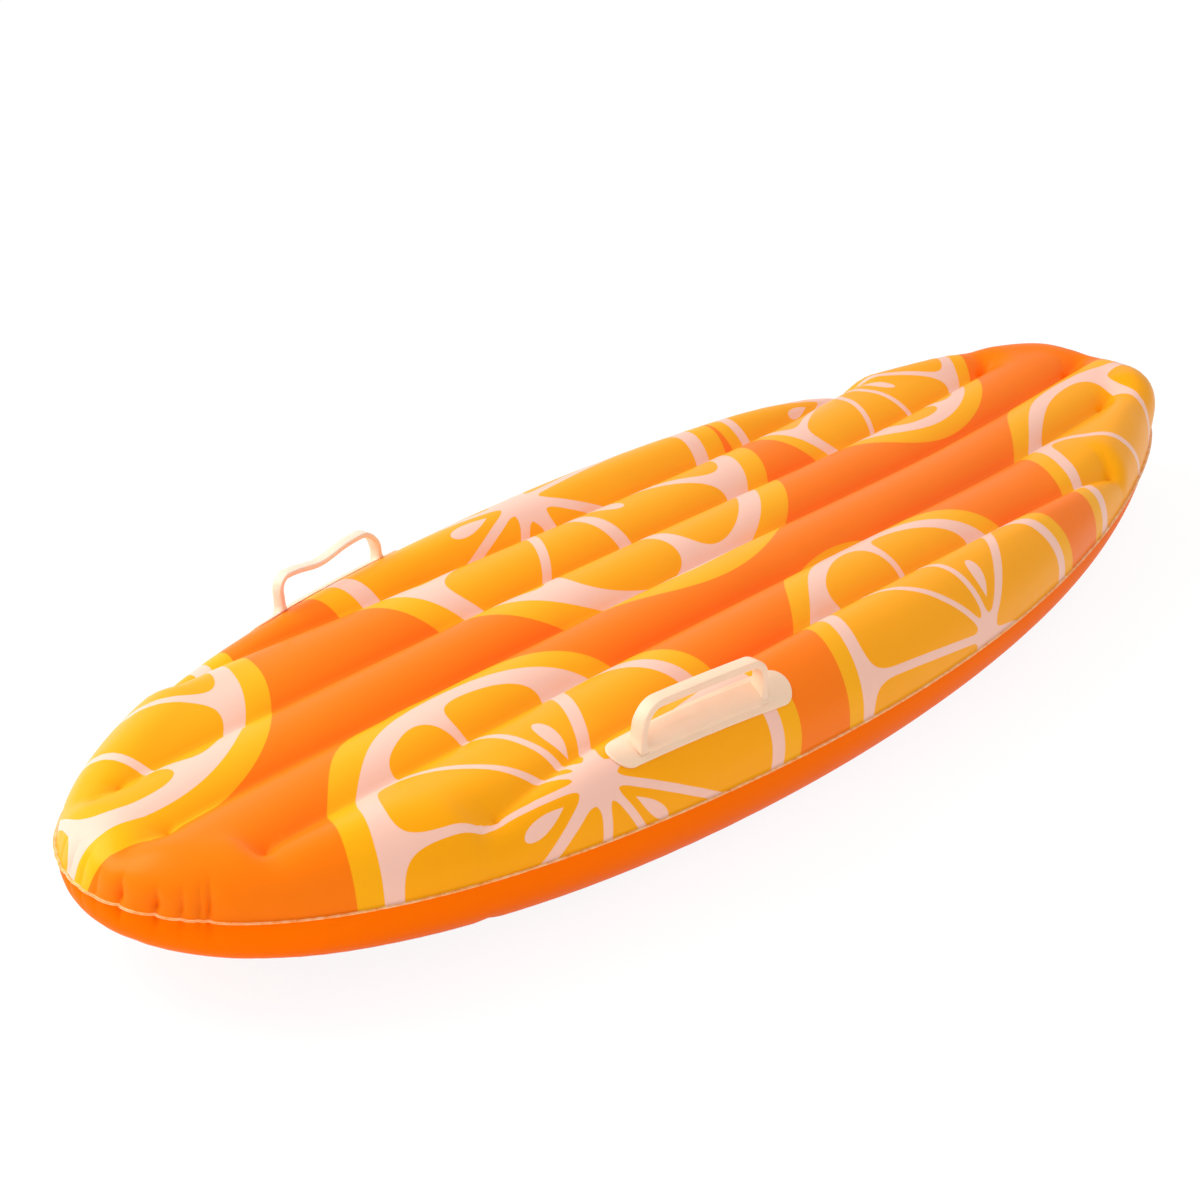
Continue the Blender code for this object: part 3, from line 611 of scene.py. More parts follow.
def slice_group():
    """One printed citrus slice: a rind ring, a pale ring, and rounded segments that meet near a pale hub.

    A segment is where three distances are all positive: in from the outer ring, out from the hub, and in
    from the segment's two straight sides. Smooth minimums of them round its corners. Three numbered segments
    hold a pip, a drop whose half width grows with the square root of the distance from its blunt end.
    """
    numbers = ("Radius", "Segments", "Turn", "Unevenness", "Phase", "First Pip", "Second Pip", "Third Pip",
               "Pip From")
    tree, given, out = new_group(
        "citrus_slice",
        [(label, "Color") for label in ("Under", "Rind", "Pith", "Flesh")]
        + [(label, "Vector") for label in ("Place", "Centre", "Hub")]
        + [(label, "Float") for label in numbers],
        (("Colour", "Color"),),
    )

    def times(first, second):
        return calculate(tree, "MULTIPLY", first, second)

    def minus(first, second):
        return calculate(tree, "SUBTRACT", first, second)

    def crisp(distance):
        """1 where a signed distance is positive, with an edge as soft as ink on film."""
        return calculate(tree, "MULTIPLY_ADD", distance, 1 / INK_EDGE, 0.5, clamp=True)

    def vector(operation, *values):
        return add_node(tree, "ShaderNodeVectorMath", values, operation=operation).outputs

    radius = given["Radius"]
    ring = vector("DISTANCE", given["Place"], given["Centre"])["Value"]
    from_hub = vector("SUBTRACT", given["Place"], given["Hub"])[0]
    away = add_node(tree, "ShaderNodeSeparateXYZ", (from_hub,)).outputs
    reach = vector("LENGTH", from_hub)["Value"]

    angle = calculate(tree, "ARCTAN2", away["Y"], away["X"])
    swing = calculate(tree, "SINE", calculate(tree, "MULTIPLY_ADD", angle, 2, given["Phase"]))
    angle = calculate(tree, "MULTIPLY_ADD", swing, given["Unevenness"], angle)
    wedge = calculate(tree, "DIVIDE", 2 * math.pi, given["Segments"])
    place = calculate(tree, "DIVIDE", calculate(tree, "ADD", angle, given["Turn"]), wedge)
    number = calculate(tree, "FLOORED_MODULO", calculate(tree, "FLOOR", place), given["Segments"])
    from_middle = times(minus(calculate(tree, "FRACT", calculate(tree, "ADD", place, 60)), 0.5), wedge)
    to_side = minus(times(wedge, 0.5), calculate(tree, "ABSOLUTE", from_middle))
    side = minus(times(reach, calculate(tree, "SINE", to_side)), times(radius, HALF_LINE))

    inside_ring = minus(times(radius, FLESH_EDGE), ring)
    outside_hub = minus(reach, times(radius, HUB))
    segment = calculate(tree, "SMOOTH_MIN", side, inside_ring, times(radius, CORNERS))
    segment = calculate(tree, "SMOOTH_MIN", segment, outside_hub, times(radius, HUB_CORNERS))

    share = calculate(tree, "DIVIDE", reach, radius)
    along = calculate(tree, "DIVIDE", minus(share, given["Pip From"]), PIP_LENGTH)
    along = calculate(tree, "MAXIMUM", calculate(tree, "MINIMUM", along, 1), 0)
    half = times(times(along, calculate(tree, "SQRT", minus(1, along))), times(radius, PIP_HALF))
    half = minus(half, PIP_TRIM)
    beside = calculate(tree, "ABSOLUTE", times(reach, calculate(tree, "SINE", from_middle)))
    pip = crisp(minus(half, beside))
    chosen = [calculate(tree, "COMPARE", number, given[label], 0.5)
              for label in ("First Pip", "Second Pip", "Third Pip")]
    pip = times(pip, calculate(tree, "MAXIMUM", chosen[0], calculate(tree, "MAXIMUM", chosen[1], chosen[2])))

    paint = mix(tree, crisp(minus(radius, ring)), given["Under"], given["Rind"])
    paint = mix(tree, crisp(minus(times(radius, PITH_EDGE), ring)), paint, given["Pith"])
    flesh = calculate(tree, "MAXIMUM", minus(crisp(segment), pip), 0)
    connect(tree, out, Colour=mix(tree, flesh, paint, given["Flesh"]))
    return tree


RIB_PITCH = 0.0024


def film_skin_group():
    """The skin of PVC film: slow unevenness, a fine grain, ribs pressed in by the welding bar, and smears."""
    tree, given, out = new_group(
        "film_skin", (("Place", "Vector"), ("Weld", "Float"), ("Slackness", "Float")),
        (("Height", "Float"), ("Roughness", "Float"), ("Tint", "Float")),
    )
    slow = noise(tree, given["Place"], 20, 2, 0.5)
    grain = noise(tree, given["Place"], 900, 2, 0.6)
    smear = noise(tree, given["Place"], 9, 4, 0.6)
    along = add_node(tree, "ShaderNodeSeparateXYZ", (given["Place"],)).outputs["X"]
    ribs = calculate(tree, "SINE", calculate(tree, "MULTIPLY", along, 2 * math.pi / RIB_PITCH))
    height = calculate(tree, "MULTIPLY", slow, given["Slackness"])
    height = calculate(tree, "MULTIPLY_ADD", grain, 0.02, height)
    height = calculate(tree, "MULTIPLY_ADD", calculate(tree, "MULTIPLY", ribs, given["Weld"]), 0.05, height)
    rough = calculate(tree, "MULTIPLY_ADD", smear, 0.12, 0.30)
    rough = calculate(tree, "MULTIPLY_ADD", given["Weld"], 0.08, rough)
    tint = calculate(tree, "MULTIPLY_ADD", smear, 0.08, 0.96)
    connect(tree, out, Height=height, Roughness=rough, Tint=tint)
    return tree


CITRUS = slice_group()
FILM_SKIN = film_skin_group()
GROUND = colour(254, 122, 6)
RIND = colour(254, 174, 12)
PITH = colour(247, 196, 178)
FLESH = colour(253, 166, 8)
# Each slice: its circle's centre, hub and radius on the flat film, segments, turn, unevenness, phase, the
# segments with a pip, and the share of the radius at which the pips begin
SLICES = (
    ((-0.772, 0.259), (-0.785, 0.245), 0.263, 10, 34, 0.00, 0, (1, 4, 7), 0.27),
    ((-0.484, -0.272), (-0.476, -0.233), 0.273, 9, -11, 0.157, 90, (1, 4, 7), 0.17),
    ((-0.045, 0.284), (-0.055, 0.238), 0.344, 9, 37, 0.18, 330, (2, 5, 8), 0.17),
    ((0.519, 0.229), (0.520, 0.212), 0.219, 9, -5, 0.00, 0, (1, 4, 7), 0.22),
    ((0.116, -0.337), (0.135, -0.326), 0.252, 8, 0, 0.10, 80, (1, 5, 7), 0.15),
    ((0.705, -0.261), (0.720, -0.290), 0.258, 7, 22, 0.00, 0, (4, 5, 6), 0.27),
)


def film_material(name, ground, refraction, slices=()):
    """Glossy soft PVC: the ground colour, any printed slices over it, and the skin's bumps and smears."""
    material, tree, shader = new_material(name)
    flat = add_node(tree, "ShaderNodeUVMap", uv_map="flat").outputs["UV"]
    weld = add_node(tree, "ShaderNodeAttribute", attribute_name="weld").outputs["Fac"]
    skin = use_group(tree, FILM_SKIN, Place=object_place(tree), Weld=weld, Slackness=0.22)
    paint = add_node(tree, "ShaderNodeRGB").outputs[0]
    paint.default_value = ground
    for centre, hub, radius, segments, turn, unevenness, phase, pips, pip_from in slices:
        printed = use_group(
            tree, CITRUS, Under=paint, Place=flat, Centre=(*centre, 0), Hub=(*hub, 0), Radius=radius,
            Segments=segments, Turn=math.radians(turn), Unevenness=unevenness, Phase=math.radians(phase),
            First_Pip=pips[0], Second_Pip=pips[1], Third_Pip=pips[2], Pip_From=pip_from,
            Rind=RIND, Pith=PITH, Flesh=FLESH,
        )
        paint = printed["Colour"]
    tint = add_node(tree, "ShaderNodeVectorMath", {0: paint, "Scale": skin["Tint"]}, operation="SCALE")
    connect(tree, shader, Base_Color=tint.outputs[0], Roughness=skin["Roughness"],
            Normal=bumped(tree, skin["Height"], 0.001), IOR=refraction, Specular_IOR_Level=0.3,
            Specular_Tint=(1, 0.75, 0.45, 1))
    return material


END_ROUNDS = [(np.array([end, web_y(index, end)]), END_RINGS, 32, END_REACH)
              for index in range(WEB_COUNT) for end in web_span(index)]
top_plan = film_plan(END_ROUNDS)
top_film = add_film("top_film", 1, top_plan, top_height(*top_plan[0].T, top_plan[2]),
                    film_material("printed_film", GROUND, 1.34, SLICES), "printed_film")
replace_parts(top_film, "top_sheet")


# Plain bottom film
# The same film without a print. It is blown a little fuller than the top one, is pressed flat where the board
# rests on the floor, and has a hole for the valve in the tube beside the middle web.
VALVE = np.array([LENGTH / 2 - 0.250, -INNER_WEB / 2])
VALVE_PAD_RADIUS = 0.024
VALVE_PAD_BLEND = 0.020
VALVE_HOLE = 0.0110
VALVE_RINGS = 0.001 * np.array([11, 12.2, 14.5, 18, 22, 24, 27, 31, 35.5, 40, 44])
VALVE_RINGS_GAP = 0.003
ON_HOLE = 0.0001
RIM_FADE = (0.35, 1.15)
UNDERSIDE = colour(255, 114, 1)


def blown_underside(x, y, depth):
    """Height of the bottom film before the floor and the valve flatten it; its valleys fade at the rim."""
    share = smooth_step(*RIM_FADE, depth / half_thickness(x))
    rise = np.maximum(rim_rise(x, depth) - share * valleys(x, y), 0)
    return SEAM_HEIGHT + rocker(x) - SEAM_HALF - UNDERSIDE_FULLNESS * rise


VALVE_Z = float(blown_underside(VALVE[0], VALVE[1], half_width(VALVE[0]) - abs(VALVE[1])))


def bottom_height(x, y, depth=None):
    """Height of the bottom film's outer face, with the valve's flat pad and the floor's flats."""
    depth = edge_place(x, y)[0] if depth is None else depth
    from_valve = np.hypot(x - VALVE[0], y - VALVE[1])
    share = smooth_step(VALVE_PAD_RADIUS, VALVE_PAD_RADIUS + VALVE_PAD_BLEND, from_valve)
    return np.maximum(VALVE_Z * (1 - share) + blown_underside(x, y, depth) * share, 0)


bottom_plan = film_plan(END_ROUNDS + [(VALVE, VALVE_RINGS, 48, VALVE_RINGS[-1] + VALVE_RINGS_GAP)])
on_hole = np.linalg.norm(bottom_plan[0] - VALVE, axis=1) < VALVE_HOLE + ON_HOLE
bottom_plan[1][1] = bottom_plan[1][1][~on_hole[bottom_plan[1][1]].all(axis=1)]
bottom_film = add_film("bottom_film", -1, bottom_plan, bottom_height(*bottom_plan[0].T, bottom_plan[2]),
                       film_material("orange_film", UNDERSIDE, 1.06), "orange_film")
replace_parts(bottom_film, "bottom_sheet")


# Weld bead round the edge
# Where the welding bar pressed the two films together, soft PVC was squeezed out into a narrow pale bead. It
# follows the folds, and catches the light in short glints where the trimmed edge is uneven; paler patches in
# its colour are partly its own uneven tone and partly painted glints.
BEAD_WIDTH = 0.0034
BEAD_HEIGHT = 0.0014
BEAD_OUT = 0.0016
BEAD_SIDES = 12
BEAD_STATIONS = 2400
BEAD_RIPPLE = 0.06


def weld_bead():
    """A flattened ring carried round the seam, its width and height rippling along the trimmed edge."""
    arc = np.linspace(-PERIMETER / 2, PERIMETER / 2, BEAD_STATIONS, endpoint=False)
    foot, outward = edge_point(arc)
    fold = drawn_in(arc, 0 * arc)
    turn = full_turn(BEAD_SIDES)
    ripple = 1 + BEAD_RIPPLE * np.sin(arc * 520 + 3 * np.sin(arc * 41)) * np.sin(arc * 150)
    reach = BEAD_OUT - fold[:, None] + (BEAD_WIDTH / 2 * ripple)[:, None] * np.cos(turn)
    plan = foot[:, None] + outward[:, None] * reach[..., None]
    z = SEAM_HEIGHT + rocker(foot[:, :1]) + (BEAD_HEIGHT / 2 * ripple)[:, None] * np.sin(turn)
    points, number = numbered(np.concatenate([plan, z[..., None]], axis=-1))
    return points, [ring_faces(number, closed=True)[:, ::-1]]


def bead_material():
    """Pale squeezed PVC with a fine uneven surface, and paler patches that are partly painted glints."""
    material, tree, shader = new_material("weld_bead")
    place = object_place(tree)
    # Paler, rougher patches: partly the squeezed PVC's uneven tone, partly painted glints along the bead.
    patches = calculate(tree, "MULTIPLY_ADD", noise(tree, place, 120, 3, 0.6), 3, -1, clamp=True)
    paint = mix(tree, patches, colour(255, 164, 84), colour(255, 212, 158))
    rough = calculate(tree, "MULTIPLY_ADD", patches, 0.2, 0.25)
    connect(tree, shader, Base_Color=paint, Roughness=rough,
            Normal=bumped(tree, noise(tree, place, 1500, 2, 0.5), 0.0004))
    return material


add_piece("weld_bead", *weld_bead(), bead_material(), "root", "orange_film")


# Five webs inside
# Strips of plain PVC film that stand on edge between the two blown films and are welded to both. Air can pass
# round their ends, and each one pulls a valley into the top and the bottom.
WEB_ROWS = 9
WEB_STEP = 0.008
WEB_BOW = 0.0012
PAD_RELIEF = 0.0022
PAD_RELIEF_REACH = 0.062


def web_strip(index):
    """A strip from the top film's valley down to the bottom film's, bowed a little sideways between them.

    Its lower edge is relieved by a bell round the valve's pad, where the bottom film is pulled flat.
    """
    first, last = web_span(index)
    x = np.linspace(first, last, round((last - first) / WEB_STEP))
    y = web_y(index, x)
    creases = end_creases(x, y)
    high = top_height(x, y) - creases - 2 * FILM
    beside_pad = np.hypot(x - VALVE[0], y - VALVE[1]) / PAD_RELIEF_REACH
    low = bottom_height(x, y) + creases + 2 * FILM + PAD_RELIEF * np.exp(-beside_pad ** 4)
    share = np.linspace(0, 1, WEB_ROWS)
    bow = WEB_BOW * np.sin(np.pi * share)[:, None] * np.sin(x * 29 + 2 * index)
    z = low + (high - low) * share[:, None]
    points, number = numbered(np.stack([np.broadcast_to(x, z.shape), y + bow, z], axis=-1))
    faces = np.stack([number[:-1, :-1], number[:-1, 1:], number[1:, 1:], number[1:, :-1]], axis=-1)
    return points, [faces.reshape(-1, 4)], (high - low).mean(), last - first


def web_material():
    """Milky film with faint cloudy patches and draw lines along its length."""
    material, tree, shader = new_material("web_film")
    place = object_place(tree)
    cloud = noise(tree, place, 14, 3, 0.5)
    stretched = add_node(tree, "ShaderNodeVectorMath", (place, (2, 40, 400)), operation="MULTIPLY").outputs[0]
    paint = mix(tree, cloud, colour(250, 236, 218), colour(242, 226, 206))
    rough = calculate(tree, "MULTIPLY_ADD", cloud, 0.15, 0.28)
    connect(tree, shader, Base_Color=paint, Roughness=rough,
            Normal=bumped(tree, noise(tree, stretched, 1, 2, 0.5), 0.0002))
    return material


WEB_FILM = web_material()
for index in range(WEB_COUNT):
    points, faces, height, length = web_strip(index)
    web = add_piece(f"web_strip_{index + 1}", points, faces, WEB_FILM, "root", "web_film")
    thicken(web, 0)
    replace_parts(web, f"web_{index + 1}")


# Two grab handles
# Soft PVC moulded in one piece: a thin plate welded onto the outer tube, a raised land along it, and a flat
# upright loop. The near one stands straight; the far one is slimmer, and its bar leans over and has sagged.
# A plate is (length, width), a land (length, width, height), and a shift and a seat are measured from the
# handle's place, along the board and outwards across it.
HANDLE_X = -0.332
HANDLE_FROM_EDGE = 0.027
HANDLE_TOE = math.radians(6.5)
PLATE_THICKNESS = 0.0018
PLATE_EDGE = 0.0005
PLATE_ROUNDING = 0.003
LAND_FILLET = ((0.0045, 0), (0.0032, 0.0002), (0.0024, 0.0008))
LAND_ROUNDING = (0.0022, 0.0011)
FACE_INSET = 0.012
FACE_LINE = 0.002
LOOP_LENGTH = 0.166
LOOP_HEIGHT = 0.039
LOOP_ROUNDING = 0.0014
LOOP_FLARE = 0.45
FLARE_HEIGHT = 0.0022
BAR_DEPTH = 0.010
SAG_PLACE = -0.012
SAG_REACH = 0.034
SLOPE_STEP = 0.0005
HANDLE_SLOPE = math.acos(1 - HANDLE_FROM_EDGE / float(half_thickness(HANDLE_X)))


def handle_point(side, along, across):
    """Plan position of a point of the handle, which toes in with the outline at its place."""
    across = np.asarray(across) * math.sin(HANDLE_SLOPE)
    sine, cosine = math.sin(HANDLE_TOE), math.cos(HANDLE_TOE)
    y = half_width(HANDLE_X) - HANDLE_FROM_EDGE + along * sine + across * cosine
    return HANDLE_X + along * cosine - across * sine, side * y


def on_film(side, along, across, height):
    """Place of a point of the plate, height above the top film along the film's own normal."""
    x, y = handle_point(side, along, across)
    step = SLOPE_STEP
    slope_x = (top_height(x + step, y) - top_height(x - step, y)) / (2 * step)
    slope_y = (top_height(x, y + step) - top_height(x, y - step)) / (2 * step)
    steep = np.sqrt(1 + slope_x ** 2 + slope_y ** 2)
    normal = np.stack([-slope_x, -slope_y, 1 + 0 * x], axis=-1) / steep[..., None]
    return np.stack([x, y, top_height(x, y)], axis=-1) + normal * np.asarray(height)[..., None]


def stadium(length, width, sides=28, ends=14):
    """Points round a slot shape with round ends, the same number for every size."""
    radius = width / 2
    straight = length / 2 - radius
    along = np.linspace(-straight, straight, sides + 1)
    turn = np.linspace(-np.pi / 2, np.pi / 2, ends + 1)[1:-1]
    right = np.stack([straight + radius * np.cos(turn), radius * np.sin(turn)], axis=1)
    lower = np.stack([along, np.full(len(along), -radius)], axis=1)
    return np.concatenate([lower, right, -lower, -right])


def handle_plate(side, plate, land, shift):
    """The plate and its land as slot-shaped rings from the underside up, with rounded edges and a fillet.

    The flat faces below and above close in over two more rings, the last one no more than a line.
    """
    length, width = plate
    land_length, land_width, land_high = land
    top = PLATE_THICKNESS + land_high
    quarter = [(1 - math.cos(turn), math.sin(turn)) for turn in np.radians([0, 22, 45, 68, 90])]
    sections = [(length - width + FACE_LINE, FACE_LINE, 0), (length - FACE_INSET, width - FACE_INSET, 0),
                (length, width, 0)]
    sections += [(length - PLATE_ROUNDING * inward, width - PLATE_ROUNDING * inward,
                  PLATE_EDGE + (PLATE_THICKNESS - PLATE_EDGE) * upward) for inward, upward in quarter]
    sections += [(land_length + size, land_width + size, PLATE_THICKNESS + rise)
                 for size, rise in LAND_FILLET]
    level, upright = LAND_ROUNDING
    sections += [(land_length - level * inward, land_width - level * inward, top - upright * (1 - upward))
                 for inward, upward in quarter]
    sections += [(land_length - FACE_INSET, land_width - FACE_INSET, top),
                 (land_length - land_width + FACE_LINE, FACE_LINE, top)]
    rings = []
    for ring_length, ring_width, rise in sections:
        along, across = stadium(ring_length, ring_width).T + np.array(shift)[:, None]
        rings.append(on_film(side, along, across, np.full(len(along), FILM + rise)))
    return numbered(np.stack(rings))


def loop_path(nose_corner, tail_corner, lean, sag):
    """Centre line of the loop as (along, height): up the nose leg, along the bar and down the tail leg.

    Lean slides the bar towards the nose, and sag lowers it in one soft wave nearer to its nose end.
    """
    turn = np.linspace(0, np.pi / 2, 15)
    legs = []
    for way, corner in ((-1, nose_corner), (1, tail_corner)):
        upright = np.linspace(PLATE_THICKNESS, LOOP_HEIGHT - corner, 10)[:-1]
        along = LOOP_LENGTH / 2 - corner * (1 - np.cos(turn))
        along = way * np.concatenate([np.full(len(upright), LOOP_LENGTH / 2), along])
        height = np.concatenate([upright, LOOP_HEIGHT - corner * (1 - np.sin(turn))])
        legs.append(np.stack([along, height], axis=1))
    bar = np.linspace(legs[0][-1], legs[1][-1], 22)[1:-1]
    path = np.concatenate([legs[0], bar, legs[1][::-1]])
    lift = path[:, 1] / LOOP_HEIGHT
    wave = np.exp(-((path[:, 0] - SAG_PLACE) / SAG_REACH) ** 2)
    return path - np.stack([lean * lift ** 1.5, sag * wave * lift ** 4], axis=1)


def handle_loop(side, path, size, land_high, seat):
    """A flat strip with rounded edges carried along the path; it flares at its feet, set on the plate."""
    ahead = unit(np.gradient(path, axis=0))
    normal = np.stack([-ahead[:, 1], ahead[:, 0]], axis=1)
    turn = np.radians([0, 30, 60, 90])
    centre = np.array(size) / 2 - LOOP_ROUNDING
    section = np.concatenate([
        centre * signs + LOOP_ROUNDING * np.stack([np.cos(turn + start), np.sin(turn + start)], axis=1)
        for signs, start in (((1, 1), 0), ((-1, 1), np.pi / 2), ((-1, -1), np.pi), ((1, -1), 1.5 * np.pi))
    ])
    above_land = np.clip(path[:, 1:] - PLATE_THICKNESS - land_high, 0, None)
    flare = 1 + LOOP_FLARE * np.exp(-above_land / FLARE_HEIGHT)
    across = section[None, :, 0] * (1 + (flare - 1) / 2)
    deep = section[None, :, 1] * flare
    along = path[:, None, 0] + deep * normal[:, None, 0]
    height = path[:, None, 1] + deep * normal[:, None, 1]
    level = np.clip(path[:, None, 1] / (LOOP_HEIGHT - BAR_DEPTH), 0, 1) ** 2
    seat_x, seat_y = handle_point(side, along, seat + 0 * across)
    foot_x, foot_y = handle_point(side, along, seat + across * (1 - level))
    x = seat_x - across * math.sin(HANDLE_TOE)
    y = seat_y + side * across * math.cos(HANDLE_TOE)
    return numbered(np.stack([x, y, top_height(foot_x, foot_y) + height], axis=-1))


def vinyl_group():
    """Moulded soft vinyl: faint flow marks and a fine satin grain."""
    tree, given, out = new_group(
        "soft_vinyl", (("Place", "Vector"), ("Light", "Color"), ("Deep", "Color")),
        (("Colour", "Color"), ("Roughness", "Float"), ("Height", "Float")),
    )
    flow = noise(tree, given["Place"], 38, 3, 0.55)
    grain = noise(tree, given["Place"], 1400, 2, 0.5)
    height = calculate(tree, "MULTIPLY_ADD", flow, 0.3, calculate(tree, "MULTIPLY", grain, 0.25))
    connect(tree, out, Colour=mix(tree, flow, given["Light"], given["Deep"]), Height=height,
            Roughness=calculate(tree, "MULTIPLY_ADD", flow, 0.18, 0.36))
    return tree


SOFT_VINYL = vinyl_group()


def vinyl_material(name, light, deep):
    material, tree, shader = new_material(name)
    vinyl = use_group(tree, SOFT_VINYL, Place=object_place(tree), Light=light, Deep=deep)
    connect(tree, shader, Base_Color=vinyl["Colour"], Roughness=vinyl["Roughness"],
            Normal=bumped(tree, vinyl["Height"], 0.0003), Specular_IOR_Level=0.4,
            Subsurface_Weight=0.15, Subsurface_Radius=(1.0, 0.5, 0.3), Subsurface_Scale=0.004)
    return material


def add_handle(name, side, plate, land, shift, path, size, seat, material, node):
    """The plate and the loop as one piece, each closed by its own end faces, and turned to face outwards."""
    base, plate_number = handle_plate(side, plate, land, shift)
    loop, loop_number = handle_loop(side, path, size, land[2], seat)
    loop_number = loop_number + len(base)
    faces = []
    for number in (plate_number, loop_number):
        faces += [ring_faces(number), number[:1, ::-1], number[-1:]]
    faces = faces if side > 0 else [part[:, ::-1] for part in faces]
    handle = add_piece(name, np.concatenate([base, loop]), faces, material, "root", "handle_vinyl")
    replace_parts(handle, node)


add_handle("handle_near", -1, (0.246, 0.038), (0.182, 0.024, 0.0042), (0.006, -0.0085),
           loop_path(0.020, 0.020, 0, 0), (0.0145, 0.0078), -0.0040,
           vinyl_material("handle_cream", colour(253, 220, 190), colour(248, 205, 174)), "handle_right")
add_handle("handle_far", 1, (0.240, 0.025), (0.176, 0.014, 0.0016), (0.002, 0.0085),
           loop_path(0.016, 0.027, 0.009, 0.007), (0.0105, 0.0056), 0.0020,
           vinyl_material("handle_peach", colour(253, 224, 202), colour(249, 214, 190)), "handle_left")


# Valve
# White soft PVC, moulded as four parts: a base disc with a collar, welded over the hole; a stem that is
# pulled out to blow the board up; a plug on a strap that hangs on the stem's tab; and a thin flap that shuts
# its bore.
BASE_RADIUS = 0.0225
BASE_THICKNESS = 0.0010
COLLAR_BORE = 0.0095
COLLAR_WALL = 0.0012
COLLAR_DEPTH = 0.0215
COLLAR_PROUD = 0.0008
CLEARANCE = 0.0003
STEM_RADIUS = 0.0075
STEM_BORE = 0.0048
STEM_LIP = 0.0012
STEM_SKIRT = 0.0014
TAB_WIDTH = 0.006
TAB_OVERHANG = 0.0025
PLUG_RADIUS = 0.0085
PLUG_HEAD = 0.0020
PEG = (0.0044, 0.0028, 0.0070)
STRAP_WIDTH = 0.006
STRAP_THICKNESS = 0.0012
STRAP_REACH = 0.0130
FLAP_RADIUS = 0.0056
FLAP_THICKNESS = 0.0005
FLAP_TAB_WIDTH = 0.003
FLAP_REACH = 0.0066
FLAP_ROUNDING = 0.00015
MOULD_ROUNDING = 0.0004
PLUG_ROUNDING = 0.0006
AXIS_GAP = 0.0002
STRIP_EDGE = 0.12
STRIP_THINNED = 0.7
TURNED_SIDES = 64
LIP_LOW = COLLAR_PROUD + CLEARANCE
LIP_TOP = LIP_LOW + STEM_LIP
STEM_END = CLEARANCE - COLLAR_DEPTH
PLUG_SEAT = LIP_TOP + CLEARANCE
STRAP_MIDDLE = PLUG_SEAT + STRAP_THICKNESS / 2


def rounded(profile, size, closed=True):
    """A profile with each corner cut by a short arc: points at 0, 1/4, 1/2, 3/4 and 1 of a quadratic curve
    from size before the corner to size after it, or to half way where the sides are shorter."""
    corners = np.asarray(profile, float)
    before, after = np.roll(corners, 1, axis=0), np.roll(corners, -1, axis=0)
    share = np.linspace(0, 1, 5)[:, None, None]
    starts = []
    for other in (before, after):
        gap = np.linalg.norm(other - corners, axis=1)[:, None]
        starts.append(corners + (other - corners) * np.minimum(size / gap, 0.45))
    curve = starts[0] * (1 - share) ** 2 + 2 * corners * share * (1 - share) + starts[1] * share ** 2
    curve = curve.transpose(1, 0, 2)
    if not closed:
        curve[0], curve[-1] = corners[0], corners[-1]
    return curve.reshape(-1, 2)


def at_valve(x, y, depth):
    """Numbered points measured from the valve's axis, and down from the pad's face."""
    return numbered(np.stack(np.broadcast_arrays(VALVE[0] + x, VALVE[1] + y, VALVE_Z - depth), axis=-1))


def turned(profile, closed):
    """A (radius, depth) profile turned about the valve's axis."""
    turn = full_turn(TURNED_SIDES)
    radius, depth = np.asarray(profile).T[:, :, None]
    points, number = at_valve(radius * np.cos(turn), radius * np.sin(turn), depth)
    faces = [ring_faces(number, closed)]
    if not closed:
        faces += [number[:1, ::-1], number[-1:]]
    return points, faces


def strip(profile, width):
    """A side profile of (distance from the axis towards the tail, depth), carried across the valve."""
    profile = np.asarray(profile, float)
    edge = STRIP_EDGE * width
    across = np.array([-width / 2, edge - width / 2, 0, width / 2 - edge, width / 2])
    thickness = np.array([STRIP_THINNED, 1, 1, 1, STRIP_THINNED])
    middle = profile[:, 1].mean()
    depth = middle + (profile[:, 1] - middle) * thickness[:, None]
    points, number = at_valve(profile[:, 0], across[:, None], depth)
    return points, [ring_faces(number), number[:1, ::-1], number[-1:]]


def joined(*parts):
    """Several closed shells as one set of points and faces."""
    points, faces, first = [], [], 0
    for part_points, part_faces in parts:
        points.append(part_points)
        faces += [face + first for face in part_faces]
        first += len(part_points)
    return np.concatenate(points), faces


WHITE_VINYL = vinyl_material("valve_white", colour(250, 249, 246), colour(240, 238, 233))
outer = COLLAR_BORE + COLLAR_WALL
base_low, base_high = -(FILM + CLEARANCE), -(FILM + CLEARANCE + BASE_THICKNESS)
body = rounded(((COLLAR_BORE, COLLAR_PROUD), (outer, COLLAR_PROUD), (outer, base_low),
                (BASE_RADIUS, base_low), (BASE_RADIUS, base_high), (outer, base_high), (outer, -COLLAR_DEPTH),
                (COLLAR_BORE, -COLLAR_DEPTH)), MOULD_ROUNDING)
skirt = COLLAR_BORE - CLEARANCE
stem = rounded(((STEM_BORE, LIP_TOP), (outer, LIP_TOP), (outer, LIP_LOW), (STEM_RADIUS, LIP_LOW),
                (STEM_RADIUS, STEM_END + STEM_SKIRT), (skirt, STEM_END + STEM_SKIRT), (skirt, STEM_END),
                (STEM_BORE, STEM_END)), MOULD_ROUNDING)
tab_root, tab_end = (STEM_RADIUS + outer) / 2, STRAP_REACH + TAB_OVERHANG
tab = rounded(((tab_root, LIP_LOW), (tab_end, LIP_LOW), (tab_end, LIP_TOP), (tab_root, LIP_TOP)),
              MOULD_ROUNDING)
peg_wide, peg_tip, peg_length = PEG
plug = rounded(((AXIS_GAP, PLUG_SEAT - peg_length), (peg_tip, PLUG_SEAT - peg_length), (peg_wide, PLUG_SEAT),
                (PLUG_RADIUS, PLUG_SEAT), (PLUG_RADIUS, PLUG_SEAT + PLUG_HEAD),
                (AXIS_GAP, PLUG_SEAT + PLUG_HEAD)), PLUG_ROUNDING, closed=False)
bend = np.linspace(-np.pi / 2, np.pi / 2, 13)
strap_half = STRAP_THICKNESS / 2
strap_root = (peg_wide + PLUG_RADIUS) / 2
